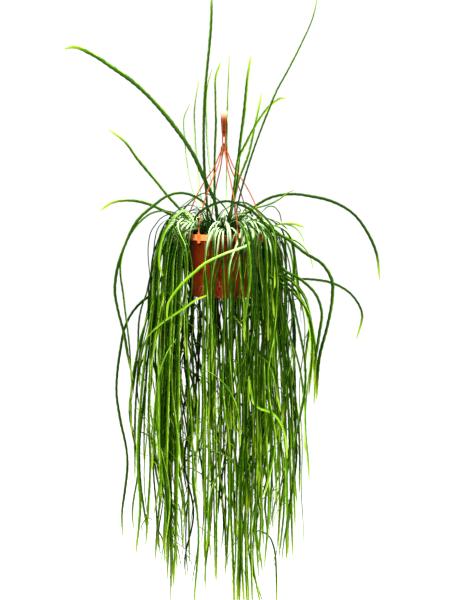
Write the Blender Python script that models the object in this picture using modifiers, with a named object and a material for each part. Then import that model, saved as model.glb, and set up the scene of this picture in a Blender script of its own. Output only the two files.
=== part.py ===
"""A trailing cactus with flat pale stems, in a plastic pot that hangs from a hook by six strands.

The origin is the seat of the hook, where the weight hangs. +Z is up and the viewer is at -Y.
Heights written in this file are measured from the top of the pot's rim unless they say otherwise.
"""
import math

import bmesh
import bpy
import numpy as np

# Sizes in metres
RIM_Z = -0.240          # rim of the pot below the seat of the hook
POT_HEIGHT = 0.125
RIM_RADIUS = 0.0755
COLLAR_HEIGHT = 0.012
SHOULDER_RADIUS = 0.0722
BASE_RADIUS = 0.0630
WALL = 0.0016
POT_STEPS = 36
DRAIN_COUNT = 6
DRAIN_RADIUS = 0.005
DRAIN_RING = 0.040
GAP = 0.0003            # air between pieces that rest on one another

SOIL_TOP = -0.012
SOIL_DOME = 0.003
CROWN_RADIUS = 0.0085
CROWN_DEPTH = 0.026
CROWN_RISE = 0.008
ROOT_Z = SOIL_TOP + 0.0005
ROOT_SPREAD = 0.0050

HOOK_WIDTH = 0.0135
HOOK_THICK = 0.0032
HOOK_THROAT = 0.013     # inner radius of the bend
HUB_HEIGHT = 0.170
HUB_RADIUS = 0.0080
STRAND_COUNT = 6
STRAND_FIRST = 20.0     # degrees from the front, towards the right
STRAND_RADIUS = 0.0012
STRAND_BOW = [(.020, .131), (.039, .103), (.054, .077), (.066, .050), (.074, .026)]
CLIP_WIDTH = 0.007
CLIP_THICK = 0.0022

# Plant
SEED = 417
STEMS_OUTER = 10        # stems that rise from one crown of the outer ring
STEMS_INNER = 7
STEM_WIDTH = 0.0056
STEM_THICK = 0.0024
STEM_APART = 0.0062     # least distance between the middles of stems of different clumps
SISTER_RUN = 0.045      # how far from their roots stems of one clump may touch
SEGMENT_RUN = 0.140
SEGMENT_TURN = math.radians(38)
SEGMENTS_MOST = 11
SAMPLE = 0.004

OUTER_CROWNS = 12
OUTER_RING = 0.052
INNER_CROWNS = 5
INNER_RING = 0.024
BETWEEN_RING = 0.036
MIDDLE_RING = 0.0115
THIN_RADIUS = 0.0038    # crown of a stem that stands alone


def outward(azimuth):
    """Unit vector away from the pot's axis; 0 degrees faces the viewer, 90 is to the right."""
    a = math.radians(azimuth)
    return np.array([math.sin(a), -math.cos(a), 0.0])


def sideways(azimuth):
    a = math.radians(azimuth)
    return np.array([math.cos(a), math.sin(a), 0.0])


def crown_places():
    """Azimuth, distance from the axis and radius of each crown: two rings of thick ones with many stems
    each, then the thin ones between them that carry one upright stem each."""
    outer = [(360.0 * k / OUTER_CROWNS, OUTER_RING, CROWN_RADIUS) for k in range(OUTER_CROWNS)]
    inner = [(360.0 * k / INNER_CROWNS, INNER_RING, CROWN_RADIUS) for k in range(INNER_CROWNS)]
    between = [(azimuth, BETWEEN_RING, THIN_RADIUS) for azimuth in (324.0, 36.0, 252.0, 180.0)]
    middle = [(azimuth, MIDDLE_RING, THIN_RADIUS) for azimuth in (102.0, 174.0, 246.0, 30.0, 318.0)]
    return outer + inner + between + middle


# Stems that can be told apart one by one. Each row: crown, plane it lies in (degrees), then
# distance from the axis and height above the rim of the points that it passes.
FRONT, FRONT_RIGHT, RIGHT_FRONT, RIGHT, BACK_RIGHT, BACK_LEFT, LEFT, FRONT_LEFT = 0, 1, 2, 3, 4, 8, 9, 10
INNER_RIGHT, INNER_LEFT, UPRIGHT = 13, 16, 17
PLANAR_STEMS = [
    (INNER_LEFT, -72, [(.026, .030), (.037, .056), (.059, .073), (.093, .081), (.118, .075), (.146, .056),
                       (.173, .034), (.204, -.020), (.222, -.078), (.225, -.108), (.219, -.147),
                       (.207, -.193), (.199, -.239), (.189, -.287)]),
    (LEFT, -85, [(.061, .006), (.070, .017), (.098, .033), (.122, .046), (.158, .061), (.193, .066),
                 (.224, .061), (.246, .046)]),
    (LEFT, -90, [(.064, .020), (.085, .045), (.114, .077), (.133, .101), (.169, .144), (.200, .185),
                 (.229, .206)]),
    (LEFT, -80, [(.060, .016), (.089, .037), (.123, .045), (.145, .041), (.164, .028), (.190, -.004),
                 (.207, -.055), (.201, -.130), (.190, -.230), (.186, -.330)]),
    (BACK_LEFT, -112, [(.062, .012), (.084, .022), (.106, .008), (.122, -.034), (.135, -.088),
                       (.159, -.127), (.181, -.143), (.206, -.171), (.221, -.202), (.229, -.240),
                       (.236, -.283), (.239, -.335), (.231, -.388), (.217, -.451), (.215, -.475),
                       (.221, -.535), (.228, -.584), (.227, -.631)]),
    (BACK_LEFT, -125, [(.051, .041), (.059, .078), (.065, .128), (.071, .186), (.072, .251),
                       (.061, .306)]),
    (BACK_LEFT, -130, [(.059, .026), (.072, .060), (.091, .114), (.103, .187), (.105, .231),
                       (.089, .259)]),
    (RIGHT_FRONT, 60, [(.060, .010), (.078, .024), (.097, .006), (.116, -.046), (.137, -.069),
                       (.173, -.086), (.208, -.117), (.219, -.149), (.214, -.188), (.205, -.249),
                       (.203, -.294)]),
    (RIGHT_FRONT, 66, [(.066, .014), (.088, .016), (.110, .003), (.133, -.007), (.175, -.036),
                       (.210, -.056), (.230, -.088), (.231, -.118), (.221, -.176), (.205, -.236),
                       (.199, -.322)]),
    (BACK_RIGHT, 115, [(.062, .012), (.082, .020), (.096, -.015), (.106, -.070), (.125, -.099),
                       (.154, -.097), (.202, -.099), (.252, -.110), (.295, -.137), (.316, -.172),
                       (.304, -.226)]),
    (INNER_RIGHT, 100, [(.030, .022), (.050, .043), (.067, .056), (.093, .070), (.128, .077),
                        (.149, .077), (.176, .073), (.216, .064), (.265, .037), (.294, .000),
                        (.313, -.041), (.321, -.097)]),
    (RIGHT, 100, [(.062, .004), (.077, .011), (.103, .016), (.121, .018), (.140, .018), (.165, .011)]),
    (RIGHT_FRONT, 72, [(.062, .002), (.082, .010), (.103, .016), (.128, .020), (.147, .013),
                       (.160, -.001), (.166, -.018)]),
    (INNER_RIGHT, 58, [(.037, .035), (.056, .045), (.074, .052), (.092, .056), (.111, .062),
                       (.129, .071), (.147, .083), (.161, .088)]),
    (UPRIGHT, -60, [(.037, .030), (.039, .060), (.045, .136), (.046, .219), (.042, .293),
                    (.037, .337), (.030, .406), (.028, .459), (.028, .490)]),
    (UPRIGHT + 1, 52, [(.031, .042), (.044, .088), (.064, .143), (.089, .200), (.110, .243),
                       (.127, .276), (.157, .320), (.188, .369), (.215, .419), (.223, .448),
                       (.229, .472)]),
    (UPRIGHT + 4, 105, [(.015, .037), (.026, .107), (.033, .176), (.042, .244), (.049, .312),
                        (.055, .351)]),
    (UPRIGHT + 7, 62, [(.016, .050), (.024, .100), (.035, .155), (.043, .168), (.061, .199),
                       (.079, .226), (.106, .255), (.128, .266), (.137, .264)]),
    (UPRIGHT + 8, -112, [(.013, .026), (.019, .060), (.040, .103), (.066, .156), (.106, .211),
                         (.145, .255), (.194, .299), (.247, .334), (.295, .362), (.330, .375),
                         (.352, .372)]),
]
# Stems that turn on the way: x, y and height above the rim.
TURNING_STEMS = [
    (FRONT_LEFT, 90, [(-.054, -.034, .010), (-.057, -.050, .032), (-.045, -.062, .046),
                      (-.029, -.065, .056), (-.012, -.067, .063), (.007, -.070, .066), (.029, -.073, .060),
                      (.051, -.076, .050), (.066, -.079, .036), (.081, -.081, .018), (.096, -.081, -.008),
                      (.110, -.080, -.060), (.118, -.082, -.083), (.121, -.082, -.126),
                      (.117, -.080, -.200), (.119, -.078, -.290), (.114, -.076, -.380)]),
    (FRONT_RIGHT, -90, [(.032, -.055, .008), (.046, -.078, .016), (.057, -.097, .004), (.050, -.108, -.014),
                        (.029, -.118, -.024), (.007, -.124, -.031), (-.016, -.127, -.041),
                        (-.038, -.130, -.053), (-.058, -.130, -.070), (-.079, -.130, -.089),
                        (-.096, -.128, -.110), (-.107, -.126, -.128), (-.110, -.124, -.148),
                        (-.110, -.122, -.162)]),
    (FRONT, 0, [(-.010, -.063, .012), (-.017, -.078, .014), (-.026, -.092, .004), (-.032, -.097, -.013),
                (-.036, -.099, -.037), (-.038, -.099, -.063), (-.035, -.098, -.090), (-.033, -.097, -.119),
                (-.032, -.096, -.184), (-.037, -.095, -.253), (-.035, -.094, -.322), (-.037, -.094, -.401)]),
    (FRONT, 0, [(.000, -.066, .011), (-.004, -.077, .011), (-.009, -.088, .000), (-.011, -.093, -.016),
                (-.014, -.094, -.040), (-.018, -.094, -.063), (-.023, -.095, -.092), (-.025, -.096, -.125),
                (-.021, -.095, -.194), (-.016, -.094, -.263), (-.018, -.093, -.351)]),
    (FRONT_RIGHT, 0, [(.030, -.060, .009), (.033, -.073, .010), (.032, -.085, .003), (.027, -.094, -.010),
                      (.022, -.099, -.024), (.015, -.105, -.041), (.010, -.106, -.062),
                      (.009, -.106, -.089), (.011, -.104, -.122), (.012, -.102, -.160),
                      (.010, -.100, -.222), (.016, -.098, -.301), (.020, -.097, -.380)]),
    (FRONT_RIGHT, 0, [(.036, -.060, .008), (.041, -.071, .009), (.041, -.083, .002), (.037, -.090, -.018),
                      (.031, -.093, -.040), (.027, -.094, -.063), (.022, -.094, -.086),
                      (.018, -.093, -.118), (.021, -.092, -.174), (.027, -.091, -.243),
                      (.031, -.090, -.322), (.028, -.090, -.411)]),
    (RIGHT_FRONT, 20, [(.048, -.050, .010), (.051, -.064, .010), (.053, -.076, .003), (.053, -.086, -.010),
                       (.052, -.090, -.035), (.052, -.091, -.063), (.055, -.090, -.108),
                       (.057, -.088, -.165), (.051, -.087, -.244), (.055, -.086, -.343),
                       (.059, -.086, -.432)]),
    (FRONT_LEFT, -60, [(-.054, -.031, .016), (-.064, -.035, .034), (-.077, -.041, .047),
                       (-.094, -.050, .038), (-.112, -.060, .013), (-.122, -.066, -.011),
                       (-.127, -.068, -.039), (-.126, -.068, -.061), (-.120, -.066, -.081)]),
    (FRONT_LEFT, -45, [(-.055, -.042, .012), (-.068, -.056, .026), (-.082, -.069, .031),
                       (-.090, -.080, .022), (-.086, -.088, .003), (-.077, -.093, -.016),
                       (-.072, -.094, -.045), (-.073, -.092, -.096), (-.078, -.090, -.165),
                       (-.074, -.089, -.243)]),
    (LEFT, -75, [(-.066, -.010, .010), (-.080, -.017, .013), (-.094, -.025, .008), (-.110, -.034, -.005),
                 (-.122, -.046, -.023), (-.127, -.052, -.050), (-.130, -.054, -.099),
                 (-.126, -.055, -.168), (-.130, -.055, -.267), (-.127, -.054, -.387)]),
    (RIGHT, 82, [(.066, .002, .010), (.080, .003, .010), (.092, .000, -.004), (.098, -.006, -.030),
                 (.103, -.012, -.060), (.110, -.016, -.084), (.129, -.018, -.101), (.153, -.017, -.129),
                 (.168, -.016, -.160), (.176, -.014, -.196), (.176, -.012, -.253), (.170, -.010, -.324)]),
    (BACK_RIGHT, 100, [(.058, .036, .010), (.074, .043, .016), (.091, .045, .012), (.107, .042, .002),
                       (.125, .038, -.009), (.145, .034, -.017), (.162, .030, -.031),
                       (.174, .028, -.050), (.179, .026, -.072)]),
    (UPRIGHT + 2, -148, [(-.028, .020, .040), (-.024, .030, .085), (-.027, .040, .119), (-.030, .046, .144),
                         (-.035, .054, .211), (-.032, .052, .299), (-.024, .044, .327)]),
    (UPRIGHT + 3, 110, [(.008, .038, .025), (.020, .041, .062), (.030, .044, .106), (.048, .050, .153),
                        (.063, .056, .219), (.070, .060, .251), (.076, .064, .279)]),
    (UPRIGHT + 6, -150, [(-.014, .012, .020), (-.017, .024, .050), (-.019, .032, .085), (-.019, .035, .110),
                         (-.018, .037, .169), (-.016, .039, .219), (-.017, .041, .270), (-.015, .043, .318),
                         (-.006, .045, .341)]),
    (UPRIGHT + 5, 172, [(.002, .020, .030), (.005, .034, .060), (.006, .042, .119), (.006, .043, .227),
                        (.007, .048, .250), (.009, .065, .305), (.011, .081, .356)]),
]


def smooth_route(points, step=SAMPLE):
    """A smooth curve through hand-set points, as closely spaced points along it."""
    p = np.asarray(points, dtype=float)
    reach = np.concatenate([[0.0], np.cumsum(np.linalg.norm(np.diff(p, axis=0), axis=1))])
    slope = np.gradient(p, reach, axis=0)
    u = np.linspace(0.0, reach[-1], max(8, int(reach[-1] / step)))
    k = np.clip(np.searchsorted(reach, u, side="right") - 1, 0, len(reach) - 2)
    span = (reach[k + 1] - reach[k])[:, None]
    f = (u - reach[k])[:, None] / span
    return ((2 * f ** 3 - 3 * f ** 2 + 1) * p[k] + (f ** 3 - 2 * f ** 2 + f) * span * slope[k]
            + (3 * f ** 2 - 2 * f ** 3) * p[k + 1] + (f ** 3 - f ** 2) * span * slope[k + 1])


def bend_points(fine, most=SEGMENTS_MOST):
    """The few points that stand for a fine route: closer where it turns, wider where it runs straight."""
    step = np.diff(fine, axis=0)
    length = np.linalg.norm(step, axis=1)
    unit = step / length[:, None]
    turn = np.arccos(np.clip((unit[1:] * unit[:-1]).sum(axis=1), -1.0, 1.0))
    effort = np.concatenate([[0.0], np.cumsum(length / SEGMENT_RUN
                                              + np.concatenate([[0.0], turn]) / SEGMENT_TURN)])
    count = int(np.clip(round(effort[-1]), 5, most))
    marks = np.linspace(0.0, effort[-1], count + 1)
    return np.stack([np.interp(marks, effort, fine[:, k]) for k in range(3)], axis=1)


def even_points(route, step=SAMPLE):
    """Points at equal distances along a route of straight runs, and how far along each one is."""
    reach = np.concatenate([[0.0], np.cumsum(np.linalg.norm(np.diff(route, axis=0), axis=1))])
    along = np.linspace(0.0, reach[-1], max(4, int(reach[-1] / step)))
    return np.stack([np.interp(along, reach, route[:, k]) for k in range(3)], axis=1), along


class Room:
    """The space that stems and hanger already take up, as points with the distance to keep from each."""

    def __init__(self):
        self.points = np.zeros((0, 3))
        self.node = np.zeros(0, dtype=int)
        self.along = np.zeros(0)
        self.keep = np.zeros(0)

    def take(self, points, along, node, keep):
        self.points = np.vstack([self.points, points])
        self.node = np.concatenate([self.node, np.full(len(points), node)])
        self.along = np.concatenate([self.along, along])
        self.keep = np.concatenate([self.keep, np.full(len(points), keep)])

    def free(self, points, along, node):
        """True where a stem of this clump meets no other one, nor its own sisters past the crown."""
        low, high = points.min(axis=0) - 0.02, points.max(axis=0) + 0.02
        near = np.all((self.points > low) & (self.points < high), axis=1)
        q, owner, far, keep = self.points[near], self.node[near], self.along[near], self.keep[near]
        for part in (slice(0, 90, 5), slice(90, None, 5), slice(0, None)):
            p, reach = points[part], along[part]
            square = ((p[:, None, 0] - q[None, :, 0]) ** 2 + (p[:, None, 1] - q[None, :, 1]) ** 2
                      + (p[:, None, 2] - q[None, :, 2]) ** 2)
            own = owner[None, :] == node
            sister = own & ((reach[:, None] < SISTER_RUN) | (far[None, :] < SISTER_RUN))
            least = np.where(own, 0.85 * keep[None, :], keep[None, :])
            if ((square < least ** 2) & ~sister).any():
                return False
        return True


def clear_of_pot(points, crown):
    """True where a route stays outside the wall and the underside of the pot and above the soil."""
    radius = np.hypot(points[:, 0], points[:, 1])
    height = points[:, 2]
    wall = (radius > 0.0690) & (radius < 0.0812) & (height < 0.0046) & (height > -0.1310)
    under = (radius <= 0.0690) & (height < -0.1150) & (height > -0.1310)
    soil = (radius <= 0.0690) & (height < SOIL_TOP + 0.0045) & (height > -0.1150)
    beside = np.hypot(points[:, 0] - crown[0], points[:, 1] - crown[1]) > CROWN_RADIUS - 0.0032
    return not (wall | under | (soil & beside)).any()


def strand_route(azimuth, top, foot):
    """Route of one strand, bowed between given points at the hub and given points at its clip."""
    return np.array([outward(azimuth) * r + np.array([0.0, 0.0, h]) for r, h in top + STRAND_BOW + foot])


def strand_azimuths():
    return [STRAND_FIRST + 360.0 * k / STRAND_COUNT for k in range(STRAND_COUNT)]


def take_hanger(room):
    for azimuth in strand_azimuths():
        route = strand_route(azimuth, [(.0048, .1695), (.0075, .160)], [(.0774, .002)])
        points, along = even_points(route)
        room.take(points, along + 1.0, -1, 0.0050)
        for across in (-0.003, 0.0, 0.003):
            for height in (0.003, -0.003, -0.009, -0.015):
                tab = outward(azimuth) * 0.0774 + sideways(azimuth) * across + np.array([0, 0, height])
                room.take(tab[None, :], np.ones(1), -1, 0.0052)
    post = np.stack([np.zeros(24), np.zeros(24), np.linspace(0.160, 0.240, 24)], axis=1)
    room.take(post, np.ones(24), -1, 0.0115)
    turn = np.linspace(0.0, math.pi, 12)
    bend = np.stack([np.zeros(12), -HOOK_THROAT * np.cos(turn), 0.227 + HOOK_THROAT * np.sin(turn)], axis=1)
    room.take(bend, np.ones(12), -1, 0.0115)


def hang_shape(rise, power):
    """How far out and up a stem goes that leaves at an angle, bends over and hangs, for a bend of one."""
    s = np.arange(0.0, 14.0, 0.02)
    angle = -math.pi / 2 + (rise + math.pi / 2) * np.exp(-s ** power)
    out = np.concatenate([[0.0], np.cumsum(np.cos(angle) * 0.02)])[:-1]
    up = np.concatenate([[0.0], np.cumsum(np.sin(angle) * 0.02)])[:-1]
    return s, out, up


def hang_azimuth(rng, start, spread):
    """Where a stem hangs: mostly beside and behind the pot, few in front, a bare gap at the front left."""
    for _ in range(40):
        azimuth = start + rng.normal(0.0, spread)
        turned = (azimuth + 180.0) % 360.0 - 180.0
        chance = 0.8
        if -52.0 < turned < -18.0:
            chance = 0.0
        elif -18.0 <= turned < 42.0:
            chance = 0.20
        elif abs(turned) > 120.0:
            chance = 1.0
        if rng.random() < chance:
            return turned
    return turned


def longest_drop(x):
    """How far below the rim the longest stems reach: least at the sides."""
    return 0.750 - 1.05 * max(abs(x + 0.01) - 0.06, 0.0)


def drawn_in(route):
    """The route with its upper part drawn in at the left shoulder and its bow laid lower at the sides."""
    upper = np.clip((route[:, 2] + 0.26) / 0.14, 0.0, 1.0)
    route[:, 0] *= 1.0 - 0.15 * upper * np.clip((-route[:, 0] - 0.08) / 0.08, 0.0, 1.0)
    flat = 0.30 * np.clip((np.abs(route[:, 0]) - 0.04) / 0.05, 0.0, 1.0)
    route[:, 2] *= np.where(route[:, 2] > 0.0, 1.0 - flat, 1.0)
    return route


def hanging_stem(rng, crown_azimuth, crown_ring, short):
    """One random stem that arches over the rim and hangs down."""
    spread = 38.0 if crown_ring > 0.03 else 95.0
    azimuth = hang_azimuth(rng, crown_azimuth, spread)
    out = outward(azimuth)
    front = max(0.0, math.cos(math.radians(azimuth)))
    widest = 1.0 / math.hypot(math.sin(math.radians(azimuth)) / (0.178 if azimuth < 0 else 0.150),
                              math.cos(math.radians(azimuth)) / 0.145)
    nearest = 0.088 + 0.010 * front
    radius = nearest + (widest - nearest) * rng.random() ** 0.9
    crown = outward(crown_azimuth) * crown_ring
    goal = out * radius
    run = goal - crown
    distance = np.linalg.norm(run)
    heading = run / distance
    across = np.array([-heading[1], heading[0], 0.0])
    spread = rng.uniform(0.0005, ROOT_SPREAD)
    root = crown + heading * spread + across * rng.uniform(-0.6, 0.6) * spread
    root[2] = ROOT_Z
    distance -= spread
    rise = math.radians(rng.uniform(62.0, 82.0))
    power = rng.uniform(1.3, 2.1)
    s, reach, up = hang_shape(rise, power)
    bend = distance / reach[-1]
    deepest = longest_drop(goal[0])
    if short:
        drop = rng.uniform(0.10, 0.45)
    else:
        drop = deepest * (1.0 - 0.42 * rng.random() ** 1.5)
    last = int(np.argmax(up * bend + root[2] < -drop)) if (up * bend + root[2] < -drop).any() else len(s)
    s, reach, up = s[:last] * bend, reach[:last] * bend, up[:last] * bend
    grown = np.clip((s - 0.06) / 0.20, 0.0, 1.0)
    grown = grown * grown * (3.0 - 2.0 * grown)
    hung = np.maximum(s - 2.2 * bend - 0.05, 0.0)
    side = abs(math.sin(math.radians(azimuth)))
    drift = (rng.uniform(-0.002, 0.026) * side * (hung / 0.2) * np.exp(1.0 - hung / 0.2)
             - (rng.uniform(0.0, 0.045) + rng.uniform(0.0, 0.10) * (1.0 - side)) * hung)
    sway = grown * rng.uniform(0.003, 0.010) * np.sin(s * 2 * math.pi / rng.uniform(0.20, 0.45)
                                                      + rng.uniform(0.0, 6.28))
    swing = grown * rng.uniform(0.003, 0.010) * np.sin(s * 2 * math.pi / rng.uniform(0.20, 0.45)
                                                       + rng.uniform(0.0, 6.28))
    lean = hung * rng.normal(0.0, 0.028)
    route = (root[None, :] + heading[None, :] * (reach + swing)[:, None] + out[None, :] * drift[:, None]
             + across[None, :] * (sway + lean)[:, None])
    route[:, 2] = root[2] + up
    return drawn_in(route)


def rooted(crown, passed):
    """A fine route that rises out of a crown on the side it leans to, then runs through given points."""
    azimuth, ring, radius = crown_places()[crown]
    root = outward(azimuth) * ring
    lean = (np.array(passed[0]) - root) * np.array([1.0, 1.0, 0.0])
    if radius > THIN_RADIUS:
        root = root + lean * min(0.35, 0.004 / max(np.linalg.norm(lean), 0.001))
    root[2] = ROOT_Z
    lift = root + np.array([0.0, 0.0, 0.010]) + 0.06 * lean
    return smooth_route([root, lift] + [np.array(point) for point in passed])


def known_stems():
    """The stems told apart one by one: crown number, plane, fine route."""
    stems = []
    for crown, plane, shape in PLANAR_STEMS:
        passed = [outward(plane) * r + np.array([0.0, 0.0, h]) for r, h in shape]
        stems.append((crown, plane, rooted(crown, passed)))
    for crown, plane, shape in TURNING_STEMS:
        stems.append((crown, plane, rooted(crown, shape)))
    return stems


def hides_pot(points):
    """True for a stem that would hang well in front of the pot's middle, where the pot is seen."""
    front = (points[:, 1] < -0.115) & (np.abs(points[:, 0]) < 0.040)
    return bool((front & (points[:, 2] < 0.0) & (points[:, 2] > -POT_HEIGHT)).any())


def grow():
    """Every stem of the plant: crown number, plane and the points it passes, heights from the rim."""
    rng = np.random.default_rng(SEED)
    crowns = crown_places()
    room = Room()
    take_hanger(room)
    stems = []
    for crown, plane, fine in known_stems():
        route = bend_points(fine, 16)
        points, along = even_points(route)
        room.take(points, along, crown, STEM_APART)
        stems.append((crown, plane, route))
    held = [sum(1 for stem in stems if stem[0] == crown) for crown in range(len(crowns))]
    for turn in range(STEMS_OUTER):
        for crown, (azimuth, ring, radius) in enumerate(crowns[:OUTER_CROWNS + INNER_CROWNS]):
            if held[crown] >= (STEMS_OUTER if ring == OUTER_RING else STEMS_INNER):
                continue
            place = outward(azimuth) * ring
            for attempt in range(140):
                fine = hanging_stem(rng, azimuth, ring, rng.random() < 0.20)
                if len(fine) < 12:
                    continue
                route = bend_points(fine)
                points, along = even_points(route)
                if clear_of_pot(points, place) and room.free(points, along, crown):
                    room.take(points, along, crown, STEM_APART)
                    held[crown] += 1
                    if not hides_pot(points):
                        stems.append((crown, azimuth, route))
                    break
    return stems


def clear_scene():
    for old in list(bpy.data.objects):
        bpy.data.objects.remove(old, do_unlink=True)


def material(name, colour, roughness):
    """A plain surface; the colour is given as it looks in daylight, 0 to 1 per channel."""
    made = bpy.data.materials.new(name)
    made.use_nodes = True
    shader = made.node_tree.nodes["Principled BSDF"]
    linear = [c / 12.92 if c <= 0.04045 else ((c + 0.055) / 1.055) ** 2.4 for c in colour]
    shader.inputs["Base Color"].default_value = (*linear, 1.0)
    shader.inputs["Roughness"].default_value = roughness
    made.diffuse_color = (*linear, 1.0)
    return made


def add_object(name, mesh, collection, surface=None):
    made = bpy.data.objects.new(name, mesh)
    collection.objects.link(made)
    if surface is not None:
        mesh.materials.clear()
        mesh.materials.append(surface)
    return made


def apply_modifiers(made):
    """Put the result of the object's modifiers in its mesh."""
    graph = bpy.context.evaluated_depsgraph_get()
    graph.update()
    result = bpy.data.meshes.new_from_object(made.evaluated_get(graph), depsgraph=graph)
    made.modifiers.clear()
    made.data = result
    return made


def turned(name, outline, collection, steps, surface=None):
    """A round body from its outline in radius and height above the rim, outer side from the top down."""
    mesh = bpy.data.meshes.new(name)
    points = [(radius, 0.0, RIM_Z + height) for radius, height in outline]
    mesh.from_pydata(points, [(k, k + 1) for k in range(len(points) - 1)], [])
    made = add_object(name, mesh, collection, surface)
    screw = made.modifiers.new("turn", "SCREW")
    screw.axis = "Z"
    screw.angle = 2 * math.pi
    screw.steps = screw.render_steps = steps
    screw.use_merge_vertices = True
    screw.merge_threshold = 0.0001
    screw.use_smooth_shade = True
    return made


def prism(name, places, low, high, sides, collection):
    """Upright many-sided rods, each with its place and radius, as one mesh; heights from the rim."""
    shape = bmesh.new()
    for x, y, radius in places:
        made = bmesh.ops.create_cone(shape, cap_ends=True, segments=sides, radius1=radius, radius2=radius,
                                     depth=high - low)
        bmesh.ops.translate(shape, verts=made["verts"], vec=(x, y, RIM_Z + (low + high) / 2))
    mesh = bpy.data.meshes.new(name)
    shape.to_mesh(mesh)
    shape.free()
    return add_object(name, mesh, collection)


def cut(made, tool, solver="EXACT"):
    step = made.modifiers.new("cut", "BOOLEAN")
    step.operation = "DIFFERENCE"
    step.object = tool
    step.solver = solver
    return apply_modifiers(made)


def fuse(made, pieces, solver="MANIFOLD"):
    """One body out of an object and every object of a collection, which is emptied after."""
    step = made.modifiers.new("fuse", "BOOLEAN")
    step.operation = "UNION"
    step.operand_type = "COLLECTION"
    step.collection = pieces
    step.solver = solver
    apply_modifiers(made)
    for used in list(pieces.objects):
        bpy.data.objects.remove(used, do_unlink=True)
    return made


def smooth_sides(made, angle=35.0):
    made.data.shade_smooth()
    made.data.set_sharp_from_angle(angle=math.radians(angle))


def weld(mesh, distance=1e-6):
    shape = bmesh.new()
    shape.from_mesh(mesh)
    bmesh.ops.remove_doubles(shape, verts=shape.verts, dist=distance)
    bmesh.ops.recalc_face_normals(shape, faces=shape.faces)
    shape.to_mesh(mesh)
    shape.free()


def close_voids(mesh):
    """Fill spaces that stems enclose between them, by taking away every shell but the outer one."""
    shape = bmesh.new()
    shape.from_mesh(mesh)
    left = set(shape.verts)
    shells = []
    while left:
        shell, edge = set(), [left.pop()]
        while edge:
            vert = edge.pop()
            shell.add(vert)
            for link in vert.link_edges:
                other = link.other_vert(vert)
                if other in left:
                    left.discard(other)
                    edge.append(other)
        shells.append(shell)
    shells.sort(key=len)
    for shell in shells[:-1]:
        bmesh.ops.delete(shape, geom=list(shell), context="VERTS")
    shape.to_mesh(mesh)
    shape.free()


def section(name, points, collection):
    """A closed outline that a curve carries along its route."""
    curve = bpy.data.curves.new(name, "CURVE")
    curve.dimensions = "2D"
    line = curve.splines.new("POLY")
    line.points.add(len(points) - 1)
    for point, (x, y) in zip(line.points, points):
        point.co = (x, y, 0.0, 1.0)
    line.use_cyclic_u = True
    made = bpy.data.objects.new(name, curve)
    collection.objects.link(made)
    return made


def swept(name, route, radii, tilts, outline, collection):
    """A solid along a route of points with heights from the rim, thinner where the radius is less."""
    curve = bpy.data.curves.new(name, "CURVE")
    curve.dimensions = "3D"
    curve.bevel_mode = "OBJECT"
    curve.bevel_object = outline
    curve.use_fill_caps = True
    curve.twist_mode = "MINIMUM"
    line = curve.splines.new("POLY")
    line.points.add(len(route) - 1)
    for point, place, radius, tilt in zip(line.points, route, radii, tilts):
        point.co = (place[0], place[1], place[2] + RIM_Z, 1.0)
        point.radius = radius
        point.tilt = tilt
    holder = bpy.data.objects.new(name + "_route", curve)
    collection.objects.link(holder)
    graph = bpy.context.evaluated_depsgraph_get()
    graph.update()
    mesh = bpy.data.meshes.new_from_object(holder.evaluated_get(graph), depsgraph=graph)
    bpy.data.objects.remove(holder, do_unlink=True)
    weld(mesh)
    return add_object(name, mesh, collection)


def inner_radius(height):
    """Radius of the pot's inner face at a height below the collar."""
    share = (height + COLLAR_HEIGHT) / (COLLAR_HEIGHT - POT_HEIGHT)
    return SHOULDER_RADIUS - WALL + (BASE_RADIUS - SHOULDER_RADIUS) * share


def make_pot(parts, cutters, surface):
    floor = -POT_HEIGHT + 0.0020
    outline = [
        (RIM_RADIUS - 0.0007, 0.0), (RIM_RADIUS, -0.0008), (RIM_RADIUS - 0.0006, -COLLAR_HEIGHT + 0.0005),
        (RIM_RADIUS - 0.0012, -COLLAR_HEIGHT), (SHOULDER_RADIUS, -COLLAR_HEIGHT - 0.0004),
        (BASE_RADIUS + 0.0002, -POT_HEIGHT + 0.0016), (BASE_RADIUS - 0.0012, -POT_HEIGHT),
        (0.0, -POT_HEIGHT), (0.0, floor), (inner_radius(floor), floor),
        (SHOULDER_RADIUS - WALL, -COLLAR_HEIGHT), (RIM_RADIUS - 0.0026, -COLLAR_HEIGHT + 0.0016),
        (RIM_RADIUS - 0.0020, 0.0), (RIM_RADIUS - 0.0007, 0.0)]
    pot = turned("pot", outline, parts, POT_STEPS, surface)
    apply_modifiers(pot)
    weld(pot.data)
    ring = [360.0 * (k + 0.5) / DRAIN_COUNT for k in range(DRAIN_COUNT)]
    places = [(*(outward(a) * DRAIN_RING)[:2], DRAIN_RADIUS) for a in ring]
    drain = prism("drain_holes", places, -POT_HEIGHT - 0.004, floor + 0.004, 8, cutters)
    cut(pot, drain)
    smooth_sides(pot)
    return pot


def make_soil(parts, cutters, surface):
    bottom = -POT_HEIGHT + 0.0020 + GAP
    edge = inner_radius(SOIL_TOP) - GAP - 0.0001
    outline = [
        (0.0, SOIL_TOP + SOIL_DOME), (0.030, SOIL_TOP + 0.8 * SOIL_DOME),
        (0.055, SOIL_TOP + 0.3 * SOIL_DOME), (edge - 0.0002, SOIL_TOP - 0.0012),
        (inner_radius(bottom) - 2 * GAP, bottom), (0.0, bottom)]
    soil = turned("soil", outline, parts, POT_STEPS, surface)
    apply_modifiers(soil)
    weld(soil.data)
    places = [(*(outward(a) * ring)[:2], radius + GAP) for a, ring, radius in crown_places()]
    holes = prism("crown_holes", places, SOIL_TOP - CROWN_DEPTH - GAP, SOIL_TOP + 0.02, 8, cutters)
    cut(soil, holes)
    smooth_sides(soil)
    return soil


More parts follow.
